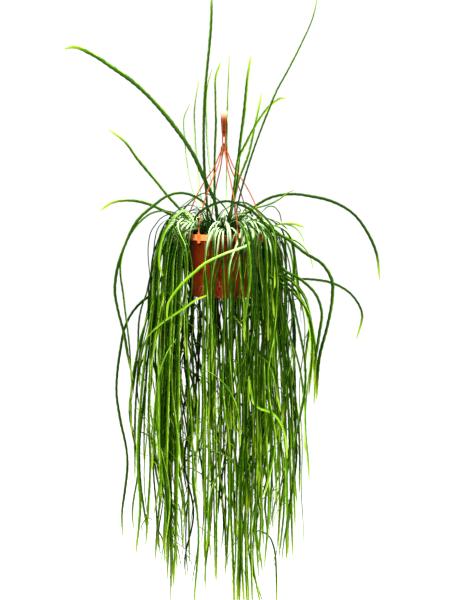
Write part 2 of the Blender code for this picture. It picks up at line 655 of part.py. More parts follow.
def hook_strap(parts, surface, foot):
    """The flat strap: up from the hub, over the bend and down at its tip; heights from the hook's seat."""
    radius = HOOK_THROAT + HOOK_THICK / 2
    centre = -HOOK_THROAT
    side = [(0.0, foot, 0.0088), (0.0, foot + 0.006, 0.0094), (0.0, foot + 0.013, 0.0096),
            (0.0, foot + 0.020, 0.0100), (0.0, foot + 0.028, 0.0112), (-0.0025, centre - 0.025, 0.0128),
            (-0.007, centre - 0.017, HOOK_WIDTH), (-0.012, centre - 0.009, HOOK_WIDTH)]
    bend = [(-radius * math.cos(a), centre + radius * math.sin(a), HOOK_WIDTH)
            for a in [math.radians(d) for d in (0, 22, 45, 67, 90, 112, 135, 158, 180)]]
    tip = [(radius + 0.001, centre - 0.010, HOOK_WIDTH - 0.0020),
           (radius + 0.0035, centre - 0.017, HOOK_WIDTH - 0.005)]
    verts, faces = [], []
    for y, z, width in side + bend + tip:
        verts += [(-width / 2, y, z), (width / 2, y, z)]
    for k in range(0, len(verts) - 2, 2):
        faces.append((k, k + 1, k + 3, k + 2))
    mesh = bpy.data.meshes.new("hanger_hook")
    mesh.from_pydata(verts, [], faces)
    hook = add_object("hanger_hook", mesh, parts, surface)
    solid = hook.modifiers.new("thickness", "SOLIDIFY")
    solid.thickness = HOOK_THICK
    solid.offset = 0.0
    solid.use_even_offset = True
    edge = hook.modifiers.new("edges", "BEVEL")
    edge.width = 0.0007
    edge.segments = 1
    edge.limit_method = "ANGLE"
    edge.angle_limit = math.radians(60)
    apply_modifiers(hook)
    weld(hook.data)
    return hook


def strap_slot(height, cutters):
    """A rod laid front to back and stretched upright, which cuts the long slot in the strap."""
    slot = bmesh.new()
    made = bmesh.ops.create_cone(slot, cap_ends=True, segments=16, radius1=0.0019, radius2=0.0019,
                                 depth=0.02)
    for vert in made["verts"]:
        x, y, z = vert.co
        vert.co = (x, z, y * 3.6 + height)
    mesh = bpy.data.meshes.new("hook_slot")
    slot.to_mesh(mesh)
    slot.free()
    weld(mesh)
    return add_object("hook_slot", mesh, cutters)


def make_hook(parts, cutters, pieces, surface):
    """The strap with its slot, and the round hub at its foot that the strands hang from."""
    foot = RIM_Z + HUB_HEIGHT + 0.001
    hook = hook_strap(parts, surface, foot)
    cut(hook, strap_slot(foot + 0.0140, cutters))
    outline = [
        (0.0, HUB_HEIGHT + 0.0045), (0.0052, HUB_HEIGHT + 0.0040), (HUB_RADIUS, HUB_HEIGHT + 0.0015),
        (HUB_RADIUS, HUB_HEIGHT - 0.0040), (0.0070, HUB_HEIGHT - 0.0050), (0.0, HUB_HEIGHT - 0.0050)]
    hub = turned("hub", outline, pieces, 20)
    apply_modifiers(hub)
    weld(hub.data)
    fuse(hook, pieces)
    places = [(*(outward(a) * 0.0050)[:2], 0.0018) for a in strand_azimuths()]
    seats = prism("strand_seats", places, HUB_HEIGHT - 0.0140, HUB_HEIGHT + 0.0003, 8, cutters)
    cut(hook, seats)
    smooth_sides(hook)
    return hook


def clip_block(name, azimuth, inner, outer, low, high, wide, collection):
    """A box on a ray from the pot's axis, between two radii and two heights above the rim."""
    block = bmesh.new()
    bmesh.ops.create_cube(block, size=1.0)
    for vert in block.verts:
        x, y, z = vert.co
        place = (outward(azimuth) * ((inner + outer) / 2 + (outer - inner) * x)
                 + sideways(azimuth) * wide * y)
        vert.co = (place[0], place[1], RIM_Z + (low + high) / 2 + (high - low) * z)
    bmesh.ops.recalc_face_normals(block, faces=block.faces)
    mesh = bpy.data.meshes.new(name)
    block.to_mesh(mesh)
    block.free()
    return add_object(name, mesh, collection)


def make_strands(parts, pieces, surface):
    """Six rods, each with a flat clip outside the collar and a lip that catches under it."""
    ring = [(STRAND_RADIUS * math.cos(a), STRAND_RADIUS * math.sin(a))
            for a in [2 * math.pi * k / 6 for k in range(6)]]
    outline = section("strand_section", ring, parts)
    top = [(.0050, HUB_HEIGHT - 0.0002), (.0052, HUB_HEIGHT - 0.006), (.0085, .157)]
    foot = [(.0773, .008), (.0776, -.004)]
    face = RIM_RADIUS + GAP + 0.0002
    made = []
    for number, azimuth in enumerate(strand_azimuths()):
        route = strand_route(azimuth, top, foot)
        rod = swept("hanger_strand_%d" % (number + 1), route, [1.0] * len(route), [0.0] * len(route),
                    outline, parts)
        rod.data.materials.append(surface)
        clip_block("tab", azimuth, face, face + CLIP_THICK, -0.0170, 0.0040, CLIP_WIDTH, pieces)
        clip_block("lip", azimuth, 0.0732, face + 0.0008, -0.0155, -0.0127, CLIP_WIDTH - 0.002, pieces)
        fuse(rod, pieces)
        smooth_sides(rod)
        made.append(rod)
    bpy.data.objects.remove(outline, do_unlink=True)
    return made


def make_stems(parts, pieces, surface):
    """One node per crown: a stub that stands in the soil and the stems that rise from it."""
    blade = [(-STEM_WIDTH / 2, -0.35 * STEM_THICK), (STEM_WIDTH / 2, -0.35 * STEM_THICK),
             (0.0, 0.65 * STEM_THICK)]
    outline = section("stem_section", blade, parts)
    rng = np.random.default_rng(SEED + 1)
    stems = grow()
    clumps = []
    for crown, (azimuth, ring, radius) in enumerate(crown_places()):
        x, y = (outward(azimuth) * ring)[:2]
        name = "stem_clump_%02d" % (crown + 1)
        if crown >= UPRIGHT:
            name = "upright_stem_%02d" % (crown + 1 - UPRIGHT)
        stub = prism(name, [(x, y, radius)], SOIL_TOP - CROWN_DEPTH, SOIL_TOP + CROWN_RISE, 8, parts)
        stub.data.materials.append(surface)
        for number, (owner, plane, route) in enumerate(stems):
            if owner != crown:
                continue
            share = np.linspace(0.0, 1.0, len(route))
            radii = np.interp(share, [0.0, 0.12, 0.3, 0.85, 1.0], [0.85, 0.95, 1.0, 0.80, 0.30])
            tilts = rng.uniform(-0.6, 0.6) + rng.normal(0.0, 0.5) * share
            swept("stem_%03d" % number, route, radii, tilts, outline, pieces)
        fuse(stub, pieces)
        close_voids(stub.data)
        stub.data.materials.clear()
        stub.data.materials.append(surface)
        smooth_sides(stub, 50.0)
        clumps.append(stub)
    bpy.data.objects.remove(outline, do_unlink=True)
    return clumps


def main():
    clear_scene()
    scene = bpy.context.scene.collection
    parts = bpy.data.collections.new("potted_lepismium_bolivianum")
    cutters = bpy.data.collections.new("cutters")
    pieces = bpy.data.collections.new("pieces")
    for collection in (parts, cutters, pieces):
        scene.children.link(collection)
    pot_plastic = material("pot_plastic", (0.42, 0.20, 0.05), 0.42)
    hanger_plastic = material("hanger_plastic", (0.62, 0.32, 0.14), 0.40)
    soil_dark = material("soil_dark", (0.17, 0.12, 0.08), 0.95)
    stem_green = material("stem_green", (0.48, 0.60, 0.30), 0.48)
    make_pot(parts, cutters, pot_plastic)
    make_soil(parts, cutters, soil_dark)
    make_hook(parts, cutters, pieces, hanger_plastic)
    make_strands(parts, pieces, hanger_plastic)
    make_stems(parts, pieces, stem_green)
    bpy.data.collections.remove(pieces)
    for tool in cutters.objects:
        tool.hide_render = True
        tool.display_type = "WIRE"


main()
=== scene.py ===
"""Looks of a trailing cactus with flat notched stems, in a plastic pot that hangs from a hook.

The plant grows here by the same seeded rule as in the part, along finer curves. Heights in the plant's
rule are measured from the top of the pot's rim; the origin is the seat of the hook, +Z is up and the
viewer is at -Y. All lengths are in metres, but for the rows of listed points, which are in whole
millimetres.
"""
import math

import bpy
import numpy as np
from bpy.props import FloatProperty, FloatVectorProperty, IntProperty, PointerProperty
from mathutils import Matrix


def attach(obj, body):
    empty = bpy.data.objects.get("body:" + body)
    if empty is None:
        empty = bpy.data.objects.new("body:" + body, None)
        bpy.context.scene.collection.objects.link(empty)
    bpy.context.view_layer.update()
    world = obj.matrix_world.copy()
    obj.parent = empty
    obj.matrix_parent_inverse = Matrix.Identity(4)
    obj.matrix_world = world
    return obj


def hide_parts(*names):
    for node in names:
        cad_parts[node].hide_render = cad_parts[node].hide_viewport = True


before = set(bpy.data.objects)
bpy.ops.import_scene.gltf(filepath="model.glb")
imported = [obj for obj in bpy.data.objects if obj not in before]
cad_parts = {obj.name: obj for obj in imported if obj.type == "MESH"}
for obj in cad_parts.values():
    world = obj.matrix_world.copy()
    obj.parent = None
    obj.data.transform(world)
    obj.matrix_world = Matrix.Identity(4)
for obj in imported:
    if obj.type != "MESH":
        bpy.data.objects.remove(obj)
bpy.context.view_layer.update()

bl_info = {
    "name": "Hanging Cactus",
    "version": (1, 0, 0),
    "blender": (4, 5, 0),
    "location": "View3D > Sidebar > Plant",
    "description": "Makes a trailing cactus in a hanging pot, with its materials, light and camera",
    "category": "Add Mesh",
}

# Sizes in metres
RIM_Z = -0.240          # rim of the pot below the seat of the hook
POT_HEIGHT = 0.125
RIM_RADIUS = 0.0755
COLLAR_HEIGHT = 0.012
SHOULDER_RADIUS = 0.0722
BASE_RADIUS = 0.0630
WALL = 0.0016
POT_FLOOR = 0.0020
AXIS_RADIUS = 0.0006    # of the small ring that closes a turned shape at its axis
DRAIN_COUNT = 6
DRAIN_RADIUS = 0.005
DRAIN_RING = 0.040
GAP = 0.0003            # air between pieces that rest on one another

SOIL_TOP = -0.012
SOIL_DOME = 0.003
CROWN_RADIUS = 0.0085
CROWN_DEPTH = 0.026
ROOT_Z = SOIL_TOP + 0.0005
ROOT_SPREAD = 0.0050

HOOK_THICK = 0.0032
HOOK_THROAT = 0.013     # inner radius of the bend
HUB_HEIGHT = 0.170
HUB_OUTLINE = [(.0004, -.0056), (.0058, -.0056), (.0064, -.0050), (.0066, -.0040), (.0064, -.0020),
               (.0058, .0004), (.0050, .0026), (.0046, .0042), (.0004, .0045)]
HOOK_FOOT = HUB_HEIGHT + 0.001
SLOT_HALF = np.array([0.0014, 0.0068])
STRAND_COUNT = 6
STRAND_FIRST = 20.0     # degrees from the front, towards the right
STRAND_RADIUS = 0.0012
STRAND_BOW = [(.020, .131), (.039, .103), (.054, .077), (.066, .050), (.074, .026)]
CLIP_WIDTH = 0.007
CLIP_THICK = 0.0022

# Plant
SEED = 417
STEMS_OUTER = 10        # stems that rise from one crown of the outer ring
STEMS_INNER = 7
LEADING_TRIES = 140
FINE_TRIES = 40
ARC_TRIES = 12
STEM_APART = 0.0062     # least distance between the middles of stems of different clumps
SISTER_RUN = 0.045      # how far from their roots stems of one clump may touch
SEGMENT_RUN = 0.140
SEGMENT_TURN = math.radians(38)
SEGMENTS_LEAST = 5
SEGMENTS_MOST = 11
SEGMENTS_KNOWN = 16
ROUTE_LEAST = 12        # points that a fine route has at least
SAMPLE = 0.004

OUTER_CROWNS = 12
OUTER_RING = 0.052
INNER_CROWNS = 5
INNER_RING = 0.024
THICK_CROWNS = OUTER_CROWNS + INNER_CROWNS
BETWEEN_RING = 0.036
MIDDLE_RING = 0.0115
THIN_RADIUS = 0.0038    # crown of a stem that stands alone

# Each lamp: name, place, width and the setting that holds its power
LAMPS = [("main_light", (-0.8, -2.8, 1.6), 1.1, "key"),
         ("top_light", (0.3, 0.2, 2.2), 1.2, "top"),
         ("fill_light", (2.4, -1.8, 0.2), 1.6, "fill")]
FLOOR_REACH = 12.0      # from the plant to each edge of the floor
SEEN_AIR = 1.05         # strength of the even light where the camera sees it as background
LIGHT_TARGET = np.array([0.0, 0.0, -0.40])
CAMERA_TARGET = np.array([0.002, 0.0, -0.3735])
UP = np.array([0.0, 0.0, 1.0])
FLAT = np.array([1.0, 1.0, 0.0])


def outward(azimuth):
    """Unit vector away from the pot's axis; 0 degrees faces the viewer, 90 is to the right."""
    a = math.radians(azimuth)
    return np.array([math.sin(a), -math.cos(a), 0.0])


def sideways(azimuth):
    """Level unit vector square to outward, the way in which the azimuth grows."""
    a = math.radians(azimuth)
    return np.array([math.cos(a), math.sin(a), 0.0])


def crown_places():
    """Azimuth, distance from the axis and radius of each crown: two rings of thick ones with many stems
    each, then the thin ones between them that carry one upright stem each."""
    outer = [(360.0 * k / OUTER_CROWNS, OUTER_RING, CROWN_RADIUS) for k in range(OUTER_CROWNS)]
    inner = [(360.0 * k / INNER_CROWNS, INNER_RING, CROWN_RADIUS) for k in range(INNER_CROWNS)]
    between = [(azimuth, BETWEEN_RING, THIN_RADIUS) for azimuth in (324.0, 36.0, 252.0, 180.0)]
    middle = [(azimuth, MIDDLE_RING, THIN_RADIUS) for azimuth in (102.0, 174.0, 246.0, 30.0, 318.0)]
    return outer + inner + between + middle


# Stems that can be told apart one by one. Each row: crown, plane it lies in (degrees), then distance from the
# axis and height above the rim, in whole millimetres, of the points that it passes.
FRONT, FRONT_RIGHT, RIGHT_FRONT, RIGHT, BACK_RIGHT, BACK_LEFT, LEFT, FRONT_LEFT = 0, 1, 2, 3, 4, 8, 9, 10
INNER_RIGHT, INNER_LEFT, UPRIGHT = 13, 16, 17
PLANAR_STEMS = [
    (INNER_LEFT, -72, [26, 30,  37, 56,  59, 73,  93, 81,  118, 75,  146, 56,  173, 34,  204, -20,  222, -78,
        225, -108,  219, -147,  207, -193,  199, -239,  189, -287]),
    (LEFT, -85, [61, 6,  70, 17,  98, 33,  122, 46,  158, 61,  193, 66,  224, 61,  246, 46]),
    (LEFT, -90, [64, 20,  85, 45,  114, 77,  133, 101,  169, 144,  200, 185,  229, 206]),
    (LEFT, -80, [60, 16,  89, 37,  123, 45,  145, 41,  164, 28,  190, -4,  207, -55,  201, -130,  190, -230,
        186, -330]),
    (BACK_LEFT, -112, [62, 12,  84, 22,  106, 8,  122, -34,  135, -88,  159, -127,  181, -143,  206, -171,
        221, -202,  229, -240,  236, -283,  239, -335,  231, -388,  217, -451,  215, -475,  221, -535,
        228, -584,  227, -631]),
    (BACK_LEFT, -125, [51, 41,  59, 78,  65, 128,  71, 186,  72, 251,  61, 306]),
    (BACK_LEFT, -130, [59, 26,  72, 60,  91, 114,  103, 187,  105, 231,  89, 259]),
    (RIGHT_FRONT, 60, [60, 10,  78, 24,  97, 6,  116, -46,  137, -69,  173, -86,  208, -117,  219, -149,
        214, -188,  205, -249,  203, -294]),
    (RIGHT_FRONT, 66, [66, 14,  88, 16,  110, 3,  133, -7,  175, -36,  210, -56,  230, -88,  231, -118,
        221, -176,  205, -236,  199, -322]),
    (BACK_RIGHT, 115, [62, 12,  82, 20,  96, -15,  106, -70,  125, -99,  154, -97,  202, -99,  252, -110,
        295, -137,  316, -172,  304, -226]),
    (INNER_RIGHT, 100, [30, 22,  50, 43,  67, 56,  93, 70,  128, 77,  149, 77,  176, 73,  216, 64,  265, 37,
        294, 0,  313, -41,  321, -97]),
    (RIGHT, 100, [62, 4,  77, 11,  103, 16,  121, 18,  140, 18,  165, 11]),
    (RIGHT_FRONT, 72, [62, 2,  82, 10,  103, 16,  128, 20,  147, 13,  160, -1,  166, -18]),
    (INNER_RIGHT, 58, [37, 35,  56, 45,  74, 52,  92, 56,  111, 62,  129, 71,  147, 83,  161, 88]),
    (UPRIGHT, -60, [37, 30,  39, 60,  45, 136,  46, 219,  42, 293,  37, 337,  30, 406,  28, 459,  28, 490]),
    (UPRIGHT + 1, 52, [31, 42,  44, 88,  64, 143,  89, 200,  110, 243,  127, 276,  157, 320,  188, 369,
        215, 419,  223, 448,  229, 472]),
    (UPRIGHT + 4, 105, [15, 37,  26, 107,  33, 176,  42, 244,  49, 312,  55, 351]),
    (UPRIGHT + 7, 62, [16, 50,  24, 100,  35, 155,  43, 168,  61, 199,  79, 226,  106, 255,  128, 266,
        137, 264]),
    (UPRIGHT + 8, -112, [13, 26,  19, 60,  40, 103,  66, 156,  106, 211,  145, 255,  194, 299,  247, 334,
        295, 362,  330, 375,  352, 372]),
]
# Stems that turn on the way: crown, then x, y and height above the rim in whole millimetres.
TURNING_STEMS = [
    (FRONT_LEFT, [-54, -34, 10,  -57, -50, 32,  -45, -62, 46,  -29, -65, 56,  -12, -67, 63,  7, -70, 66,
        29, -73, 60,  51, -76, 50,  66, -79, 36,  81, -81, 18,  96, -81, -8,  110, -80, -60,  118, -82, -83,
        121, -82, -126,  117, -80, -200,  119, -78, -290,  114, -76, -380]),
    (FRONT_RIGHT, [32, -55, 8,  46, -78, 16,  57, -97, 4,  50, -108, -14,  29, -118, -24,  7, -124, -31,
        -16, -127, -41,  -38, -130, -53,  -58, -130, -70,  -79, -130, -89,  -96, -128, -110,
        -107, -126, -128,  -110, -124, -148,  -110, -122, -162]),
    (FRONT, [-10, -63, 12,  -17, -78, 14,  -26, -92, 4,  -32, -97, -13,  -36, -99, -37,  -38, -99, -63,
        -35, -98, -90,  -33, -97, -119,  -32, -96, -184,  -37, -95, -253,  -35, -94, -322,  -37, -94, -401]),
    (FRONT, [0, -66, 11,  -4, -77, 11,  -9, -88, 0,  -11, -93, -16,  -14, -94, -40,  -18, -94, -63,
        -23, -95, -92,  -25, -96, -125,  -21, -95, -194,  -16, -94, -263,  -18, -93, -351]),
    (FRONT_RIGHT, [30, -60, 9,  33, -73, 10,  32, -85, 3,  27, -94, -10,  22, -99, -24,  15, -105, -41,
        10, -106, -62,  9, -106, -89,  11, -104, -122,  12, -102, -160,  10, -100, -222,  16, -98, -301,
        20, -97, -380]),
    (FRONT_RIGHT, [36, -60, 8,  41, -71, 9,  41, -83, 2,  37, -90, -18,  31, -93, -40,  27, -94, -63,
        22, -94, -86,  18, -93, -118,  21, -92, -174,  27, -91, -243,  31, -90, -322,  28, -90, -411]),
    (RIGHT_FRONT, [48, -50, 10,  51, -64, 10,  53, -76, 3,  53, -86, -10,  52, -90, -35,  52, -91, -63,
        55, -90, -108,  57, -88, -165,  51, -87, -244,  55, -86, -343,  59, -86, -432]),
    (FRONT_LEFT, [-54, -31, 16,  -64, -35, 34,  -77, -41, 47,  -94, -50, 38,  -112, -60, 13,  -122, -66, -11,
        -127, -68, -39,  -126, -68, -61,  -120, -66, -81]),
    (FRONT_LEFT, [-55, -42, 12,  -68, -56, 26,  -82, -69, 31,  -90, -80, 22,  -86, -88, 3,  -77, -93, -16,
        -72, -94, -45,  -73, -92, -96,  -78, -90, -165,  -74, -89, -243]),
    (LEFT, [-66, -10, 10,  -80, -17, 13,  -94, -25, 8,  -110, -34, -5,  -122, -46, -23,  -127, -52, -50,
        -130, -54, -99,  -126, -55, -168,  -130, -55, -267,  -127, -54, -387]),
    (RIGHT, [66, 2, 10,  80, 3, 10,  92, 0, -4,  98, -6, -30,  103, -12, -60,  110, -16, -84,  129, -18, -101,
        153, -17, -129,  168, -16, -160,  176, -14, -196,  176, -12, -253,  170, -10, -324]),
    (BACK_RIGHT, [58, 36, 10,  74, 43, 16,  91, 45, 12,  107, 42, 2,  125, 38, -9,  145, 34, -17,
        162, 30, -31,  174, 28, -50,  179, 26, -72]),
    (UPRIGHT + 2, [-28, 20, 40,  -24, 30, 85,  -27, 40, 119,  -30, 46, 144,  -35, 54, 211,  -32, 52, 299,
        -24, 44, 327]),
    (UPRIGHT + 3, [8, 38, 25,  20, 41, 62,  30, 44, 106,  48, 50, 153,  63, 56, 219,  70, 60, 251,
        76, 64, 279]),
    (UPRIGHT + 6, [-14, 12, 20,  -17, 24, 50,  -19, 32, 85,  -19, 35, 110,  -18, 37, 169,  -16, 39, 219,
        -17, 41, 270,  -15, 43, 318,  -6, 45, 341]),
    (UPRIGHT + 5, [2, 20, 30,  5, 34, 60,  6, 42, 119,  6, 43, 227,  7, 48, 250,  9, 65, 305,  11, 81, 356]),
]


def points_of(row, width=3):
    """Points in metres from a row of whole millimetres."""
    return np.reshape(row, (-1, width)) / 1000.0


def distance_along(points):
    """How far along a route each of its points is."""
    return np.concatenate([[0.0], np.cumsum(np.linalg.norm(np.diff(points, axis=0), axis=1))])


def at_marks(marks, scale, route):
    """Points of a route at marks on a scale that rises along it."""
    return np.stack([np.interp(marks, scale, column) for column in route.T], axis=1)


def climb(value, start, run):
    """0 up to a start, then evenly up to 1: (value - start) / run, held between 0 and 1."""
    return np.clip((value - start) / run, 0.0, 1.0)


def eased(share):
    """A share s that sets out and ends gently: s^2 (3 - 2 s)."""
    return share * share * (3.0 - 2.0 * share)


def smooth_route(points, step=SAMPLE):
    """A smooth curve through given points, as closely spaced points along it: cubics that share their
    slope where they meet."""
    p = np.asarray(points, dtype=float)
    reach = distance_along(p)
    slope = np.gradient(p, reach, axis=0)
    u = np.linspace(0.0, reach[-1], max(8, int(reach[-1] / step)))
    k = np.clip(np.searchsorted(reach, u, side="right") - 1, 0, len(reach) - 2)
    span = (reach[k + 1] - reach[k])[:, None]
    f = (u - reach[k])[:, None] / span
    return ((2 * f ** 3 - 3 * f ** 2 + 1) * p[k] + (f ** 3 - 2 * f ** 2 + f) * span * slope[k]
            + (3 * f ** 2 - 2 * f ** 3) * p[k + 1] + (f ** 3 - f ** 2) * span * slope[k + 1])


def bend_points(fine, most=SEGMENTS_MOST):
    """The few points that stand for a fine route: closer where it turns, wider where it runs straight."""
    step = np.diff(fine, axis=0)
    length = np.linalg.norm(step, axis=1)
    heading = step / length[:, None]
    turn = np.arccos(np.clip((heading[1:] * heading[:-1]).sum(axis=1), -1.0, 1.0))
    effort = np.concatenate([[0.0], np.cumsum(length / SEGMENT_RUN
                                              + np.concatenate([[0.0], turn]) / SEGMENT_TURN)])
    count = int(np.clip(round(effort[-1]), SEGMENTS_LEAST, most))
    return at_marks(np.linspace(0.0, effort[-1], count + 1), effort, fine)


def even_points(route, step=SAMPLE):
    """Points at equal distances along a route of straight runs, and how far along each one is."""
    reach = distance_along(route)
    along = np.linspace(0.0, reach[-1], max(4, int(reach[-1] / step)))
    return at_marks(along, reach, route), along


class Room:
    """The space that stems and hanger already take up, as points with the distance to keep from each."""

    def __init__(self):
        self.points = np.zeros((0, 3))
        self.node = np.zeros(0, dtype=int)
        self.along = np.zeros(0)
        self.keep = np.zeros(0)

    def take(self, points, along, node, keep):
        """Add points of a clump, how far along their stem each is and the distance to keep from them."""
        self.points = np.vstack([self.points, points])
        self.node = np.concatenate([self.node, np.full(len(points), node)])
        self.along = np.concatenate([self.along, along])
        self.keep = np.concatenate([self.keep, np.full(len(points), keep)])

    def free(self, points, along, node, share=1.0):
        """True where a stem of this clump keeps its share of the distance to every other one, and to its own
        sisters past the crown."""
        low, high = points.min(axis=0) - 0.02, points.max(axis=0) + 0.02
        near = np.all((self.points > low) & (self.points < high), axis=1)
        q, owner, far, keep = self.points[near], self.node[near], self.along[near], self.keep[near]
        for part in (slice(0, 90, 5), slice(90, None, 5), slice(0, None)):
            p, reach = points[part], along[part]
            square = ((p[:, None, 0] - q[None, :, 0]) ** 2 + (p[:, None, 1] - q[None, :, 1]) ** 2
                      + (p[:, None, 2] - q[None, :, 2]) ** 2)
            own = owner[None, :] == node
            sister = own & ((reach[:, None] < SISTER_RUN) | (far[None, :] < SISTER_RUN))
            least = share * np.where(own, 0.85 * keep[None, :], keep[None, :])
            if ((square < least ** 2) & ~sister).any():
                return False
        return True


def clear_of_pot(points, crown):
    """True where a route stays outside the wall and the underside of the pot and above the soil."""
    inner, outer, over_rim_z, under_pot_z, floor_z = 0.0690, 0.0812, 0.0046, -0.1310, -0.1150
    radius, height = np.hypot(points[:, 0], points[:, 1]), points[:, 2]
    wall = (radius > inner) & (radius < outer) & (height < over_rim_z) & (height > under_pot_z)
    under = (radius <= inner) & (height < floor_z) & (height > under_pot_z)
    soil = (radius <= inner) & (height < SOIL_TOP + 0.0045) & (height > floor_z)
    beside = np.hypot(points[:, 0] - crown[0], points[:, 1] - crown[1]) > CROWN_RADIUS - 0.0032
    return not (wall | under | (soil & beside)).any()


def strand_route(azimuth, top, foot):
    """Route of one strand, bowed between given points at the hub and given points at its clip."""
    return np.array([outward(azimuth) * r + UP * h for r, h in top + STRAND_BOW + foot])


def strand_azimuths():
    """Azimuth of each strand in degrees, evenly spaced from the first."""
    return [STRAND_FIRST + 360.0 * k / STRAND_COUNT for k in range(STRAND_COUNT)]


def take_hanger(room):
    """Give the strands, their clips, the hub and the hook their room: points of no clump, each with the
    distance that a stem keeps from it."""
    strand_apart, clip_apart, hook_apart = 0.0050, 0.0052, 0.0115
    for azimuth in strand_azimuths():
        points, along = even_points(strand_route(azimuth, [(.0048, .1695), (.0075, .160)], [(.0774, .002)]))
        room.take(points, along + 1.0, -1, strand_apart)
        for across in (-0.003, 0.0, 0.003):
            for height in (0.003, -0.003, -0.009, -0.015):
                tab = outward(azimuth) * 0.0774 + sideways(azimuth) * across + UP * height
                room.take(tab[None, :], np.ones(1), -1, clip_apart)
    post = UP * np.linspace(0.160, 0.240, 24)[:, None]
    turn = np.linspace(0.0, math.pi, 12)
    bend = np.stack([np.zeros(12), -HOOK_THROAT * np.cos(turn), 0.227 + HOOK_THROAT * np.sin(turn)], axis=1)
    for points in (post, bend):
        room.take(points, np.ones(len(points)), -1, hook_apart)


def hang_shape(rise, power):
    """How far out and up a stem goes that leaves at an angle, bends over and hangs, for a bend of one. Its
    angle at a distance s is -90 degrees plus (rise + 90 degrees) e^(-s^power)."""
    step = 0.02
    s = np.arange(0.0, 14.0, step)
    angle = -math.pi / 2 + (rise + math.pi / 2) * np.exp(-s ** power)
    out, up = (np.concatenate([[0.0], np.cumsum(part * step)])[:-1]
               for part in (np.cos(angle), np.sin(angle)))
    return s, out, up


# How far from the pot's axis stems hang: at least the nearest, at most an ellipse of these half axes
HANG_NEAREST = 0.088
HANG_LEFT = 0.178
HANG_RIGHT = 0.150
HANG_DEPTH = 0.145


def hang_azimuth(rng, start, spread):
    """Where a stem hangs: mostly beside and behind the pot, few in front, a bare gap at the front left."""
    for _ in range(40):
        azimuth = start + rng.normal(0.0, spread)
        turned = (azimuth + 180.0) % 360.0 - 180.0
        chance = 0.8
        if -52.0 < turned < -18.0:
            chance = 0.0
        elif -18.0 <= turned < 42.0:
            chance = 0.20
        elif abs(turned) > 120.0:
            chance = 1.0
        if rng.random() < chance:
            return turned
    return turned


def longest_drop(x):
    """How far below the rim the longest stems reach: least at the sides."""
    return 0.750 - 1.05 * max(abs(x + 0.01) - 0.06, 0.0)


def drawn_in(route):
    """The route with its upper part drawn in at the left shoulder and its bow laid lower at the sides."""
    route[:, 0] *= 1.0 - 0.15 * climb(route[:, 2], -0.26, 0.14) * climb(-route[:, 0], 0.08, 0.08)
    flat = 0.30 * climb(np.abs(route[:, 0]), 0.04, 0.05)
    route[:, 2] *= np.where(route[:, 2] > 0.0, 1.0 - flat, 1.0)
    return route


def slow_wave(rng, grown, s):
    """A sine along a stem, 3 to 10 mm wide and 200 to 450 mm long, that widens as given."""
    return (grown * rng.uniform(0.003, 0.010)
            * np.sin(s * 2 * math.pi / rng.uniform(0.20, 0.45) + rng.uniform(0.0, 6.28)))


def hanging_stem(rng, crown_azimuth, crown_ring, short):
    """One random stem that arches over the rim and hangs down at a random distance from the axis, up to an
    ellipse that is narrower on the right. Below its bend it drifts, sways and leans a little."""
    azimuth = hang_azimuth(rng, crown_azimuth, 38.0 if crown_ring > 0.03 else 95.0)
    out, a = outward(azimuth), math.radians(azimuth)
    wide = HANG_LEFT if azimuth < 0 else HANG_RIGHT
    widest = 1.0 / math.hypot(math.sin(a) / wide, math.cos(a) / HANG_DEPTH)
    nearest = HANG_NEAREST + 0.010 * max(0.0, math.cos(a))
    radius = nearest + (widest - nearest) * rng.random() ** 0.9
    crown = outward(crown_azimuth) * crown_ring
    goal = out * radius
    run = goal - crown
    distance = np.linalg.norm(run)
    heading = run / distance
    across = np.array([-heading[1], heading[0], 0.0])
    lead = rng.uniform(0.0005, ROOT_SPREAD)
    root = crown + heading * lead + across * rng.uniform(-0.6, 0.6) * lead
    root[2] = ROOT_Z
    distance -= lead
    rise = math.radians(rng.uniform(62.0, 82.0))
    s, reach, up = hang_shape(rise, rng.uniform(1.3, 2.1))
    bend = distance / reach[-1]
    if short:
        drop = rng.uniform(0.10, 0.45)
    else:
        drop = longest_drop(goal[0]) * (1.0 - 0.42 * rng.random() ** 1.5)
    under = up * bend + root[2] < -drop
    last = int(np.argmax(under)) if under.any() else len(s)
    s, reach, up = s[:last] * bend, reach[:last] * bend, up[:last] * bend
    grown = eased(climb(s, 0.06, 0.20))
    hung = np.maximum(s - 2.2 * bend - 0.05, 0.0)
    side = abs(math.sin(a))
    drift = (rng.uniform(-0.002, 0.026) * side * (hung / 0.2) * np.exp(1.0 - hung / 0.2)
             - (rng.uniform(0.0, 0.045) + rng.uniform(0.0, 0.10) * (1.0 - side)) * hung)
    sway, swing = slow_wave(rng, grown, s), slow_wave(rng, grown, s)
    lean = hung * rng.normal(0.0, 0.028)
    route = (root + heading * (reach + swing)[:, None] + out * drift[:, None]
             + across * (sway + lean)[:, None])
    route[:, 2] = root[2] + up
    return drawn_in(route)


def rooted(crown, passed):
    """A fine route that rises out of a crown on the side it leans to, then runs through given points."""
    azimuth, ring, radius = crown_places()[crown]
    root = outward(azimuth) * ring
    lean = (passed[0] - root) * FLAT
    if radius > THIN_RADIUS:
        root = root + lean * min(0.35, 0.004 / max(np.linalg.norm(lean), 0.001))
    root[2] = ROOT_Z
    return smooth_route([root, root + UP * 0.010 + 0.06 * lean, *passed])


def known_stems():
    """The stems told apart one by one: crown number and fine route."""
    planar = [(crown, [outward(plane) * r + UP * h for r, h in points_of(row, 2)])
              for crown, plane, row in PLANAR_STEMS]
    turning = [(crown, points_of(row)) for crown, row in TURNING_STEMS]
    return [(crown, rooted(crown, passed)) for crown, passed in planar + turning]


def hides_pot(points):
    """True for a stem that would hang well in front of the pot's middle, where the pot is seen."""
    front = (points[:, 1] < -0.115) & (np.abs(points[:, 0]) < 0.040)
    return bool((front & (points[:, 2] < 0.0) & (points[:, 2] > -POT_HEIGHT)).any())


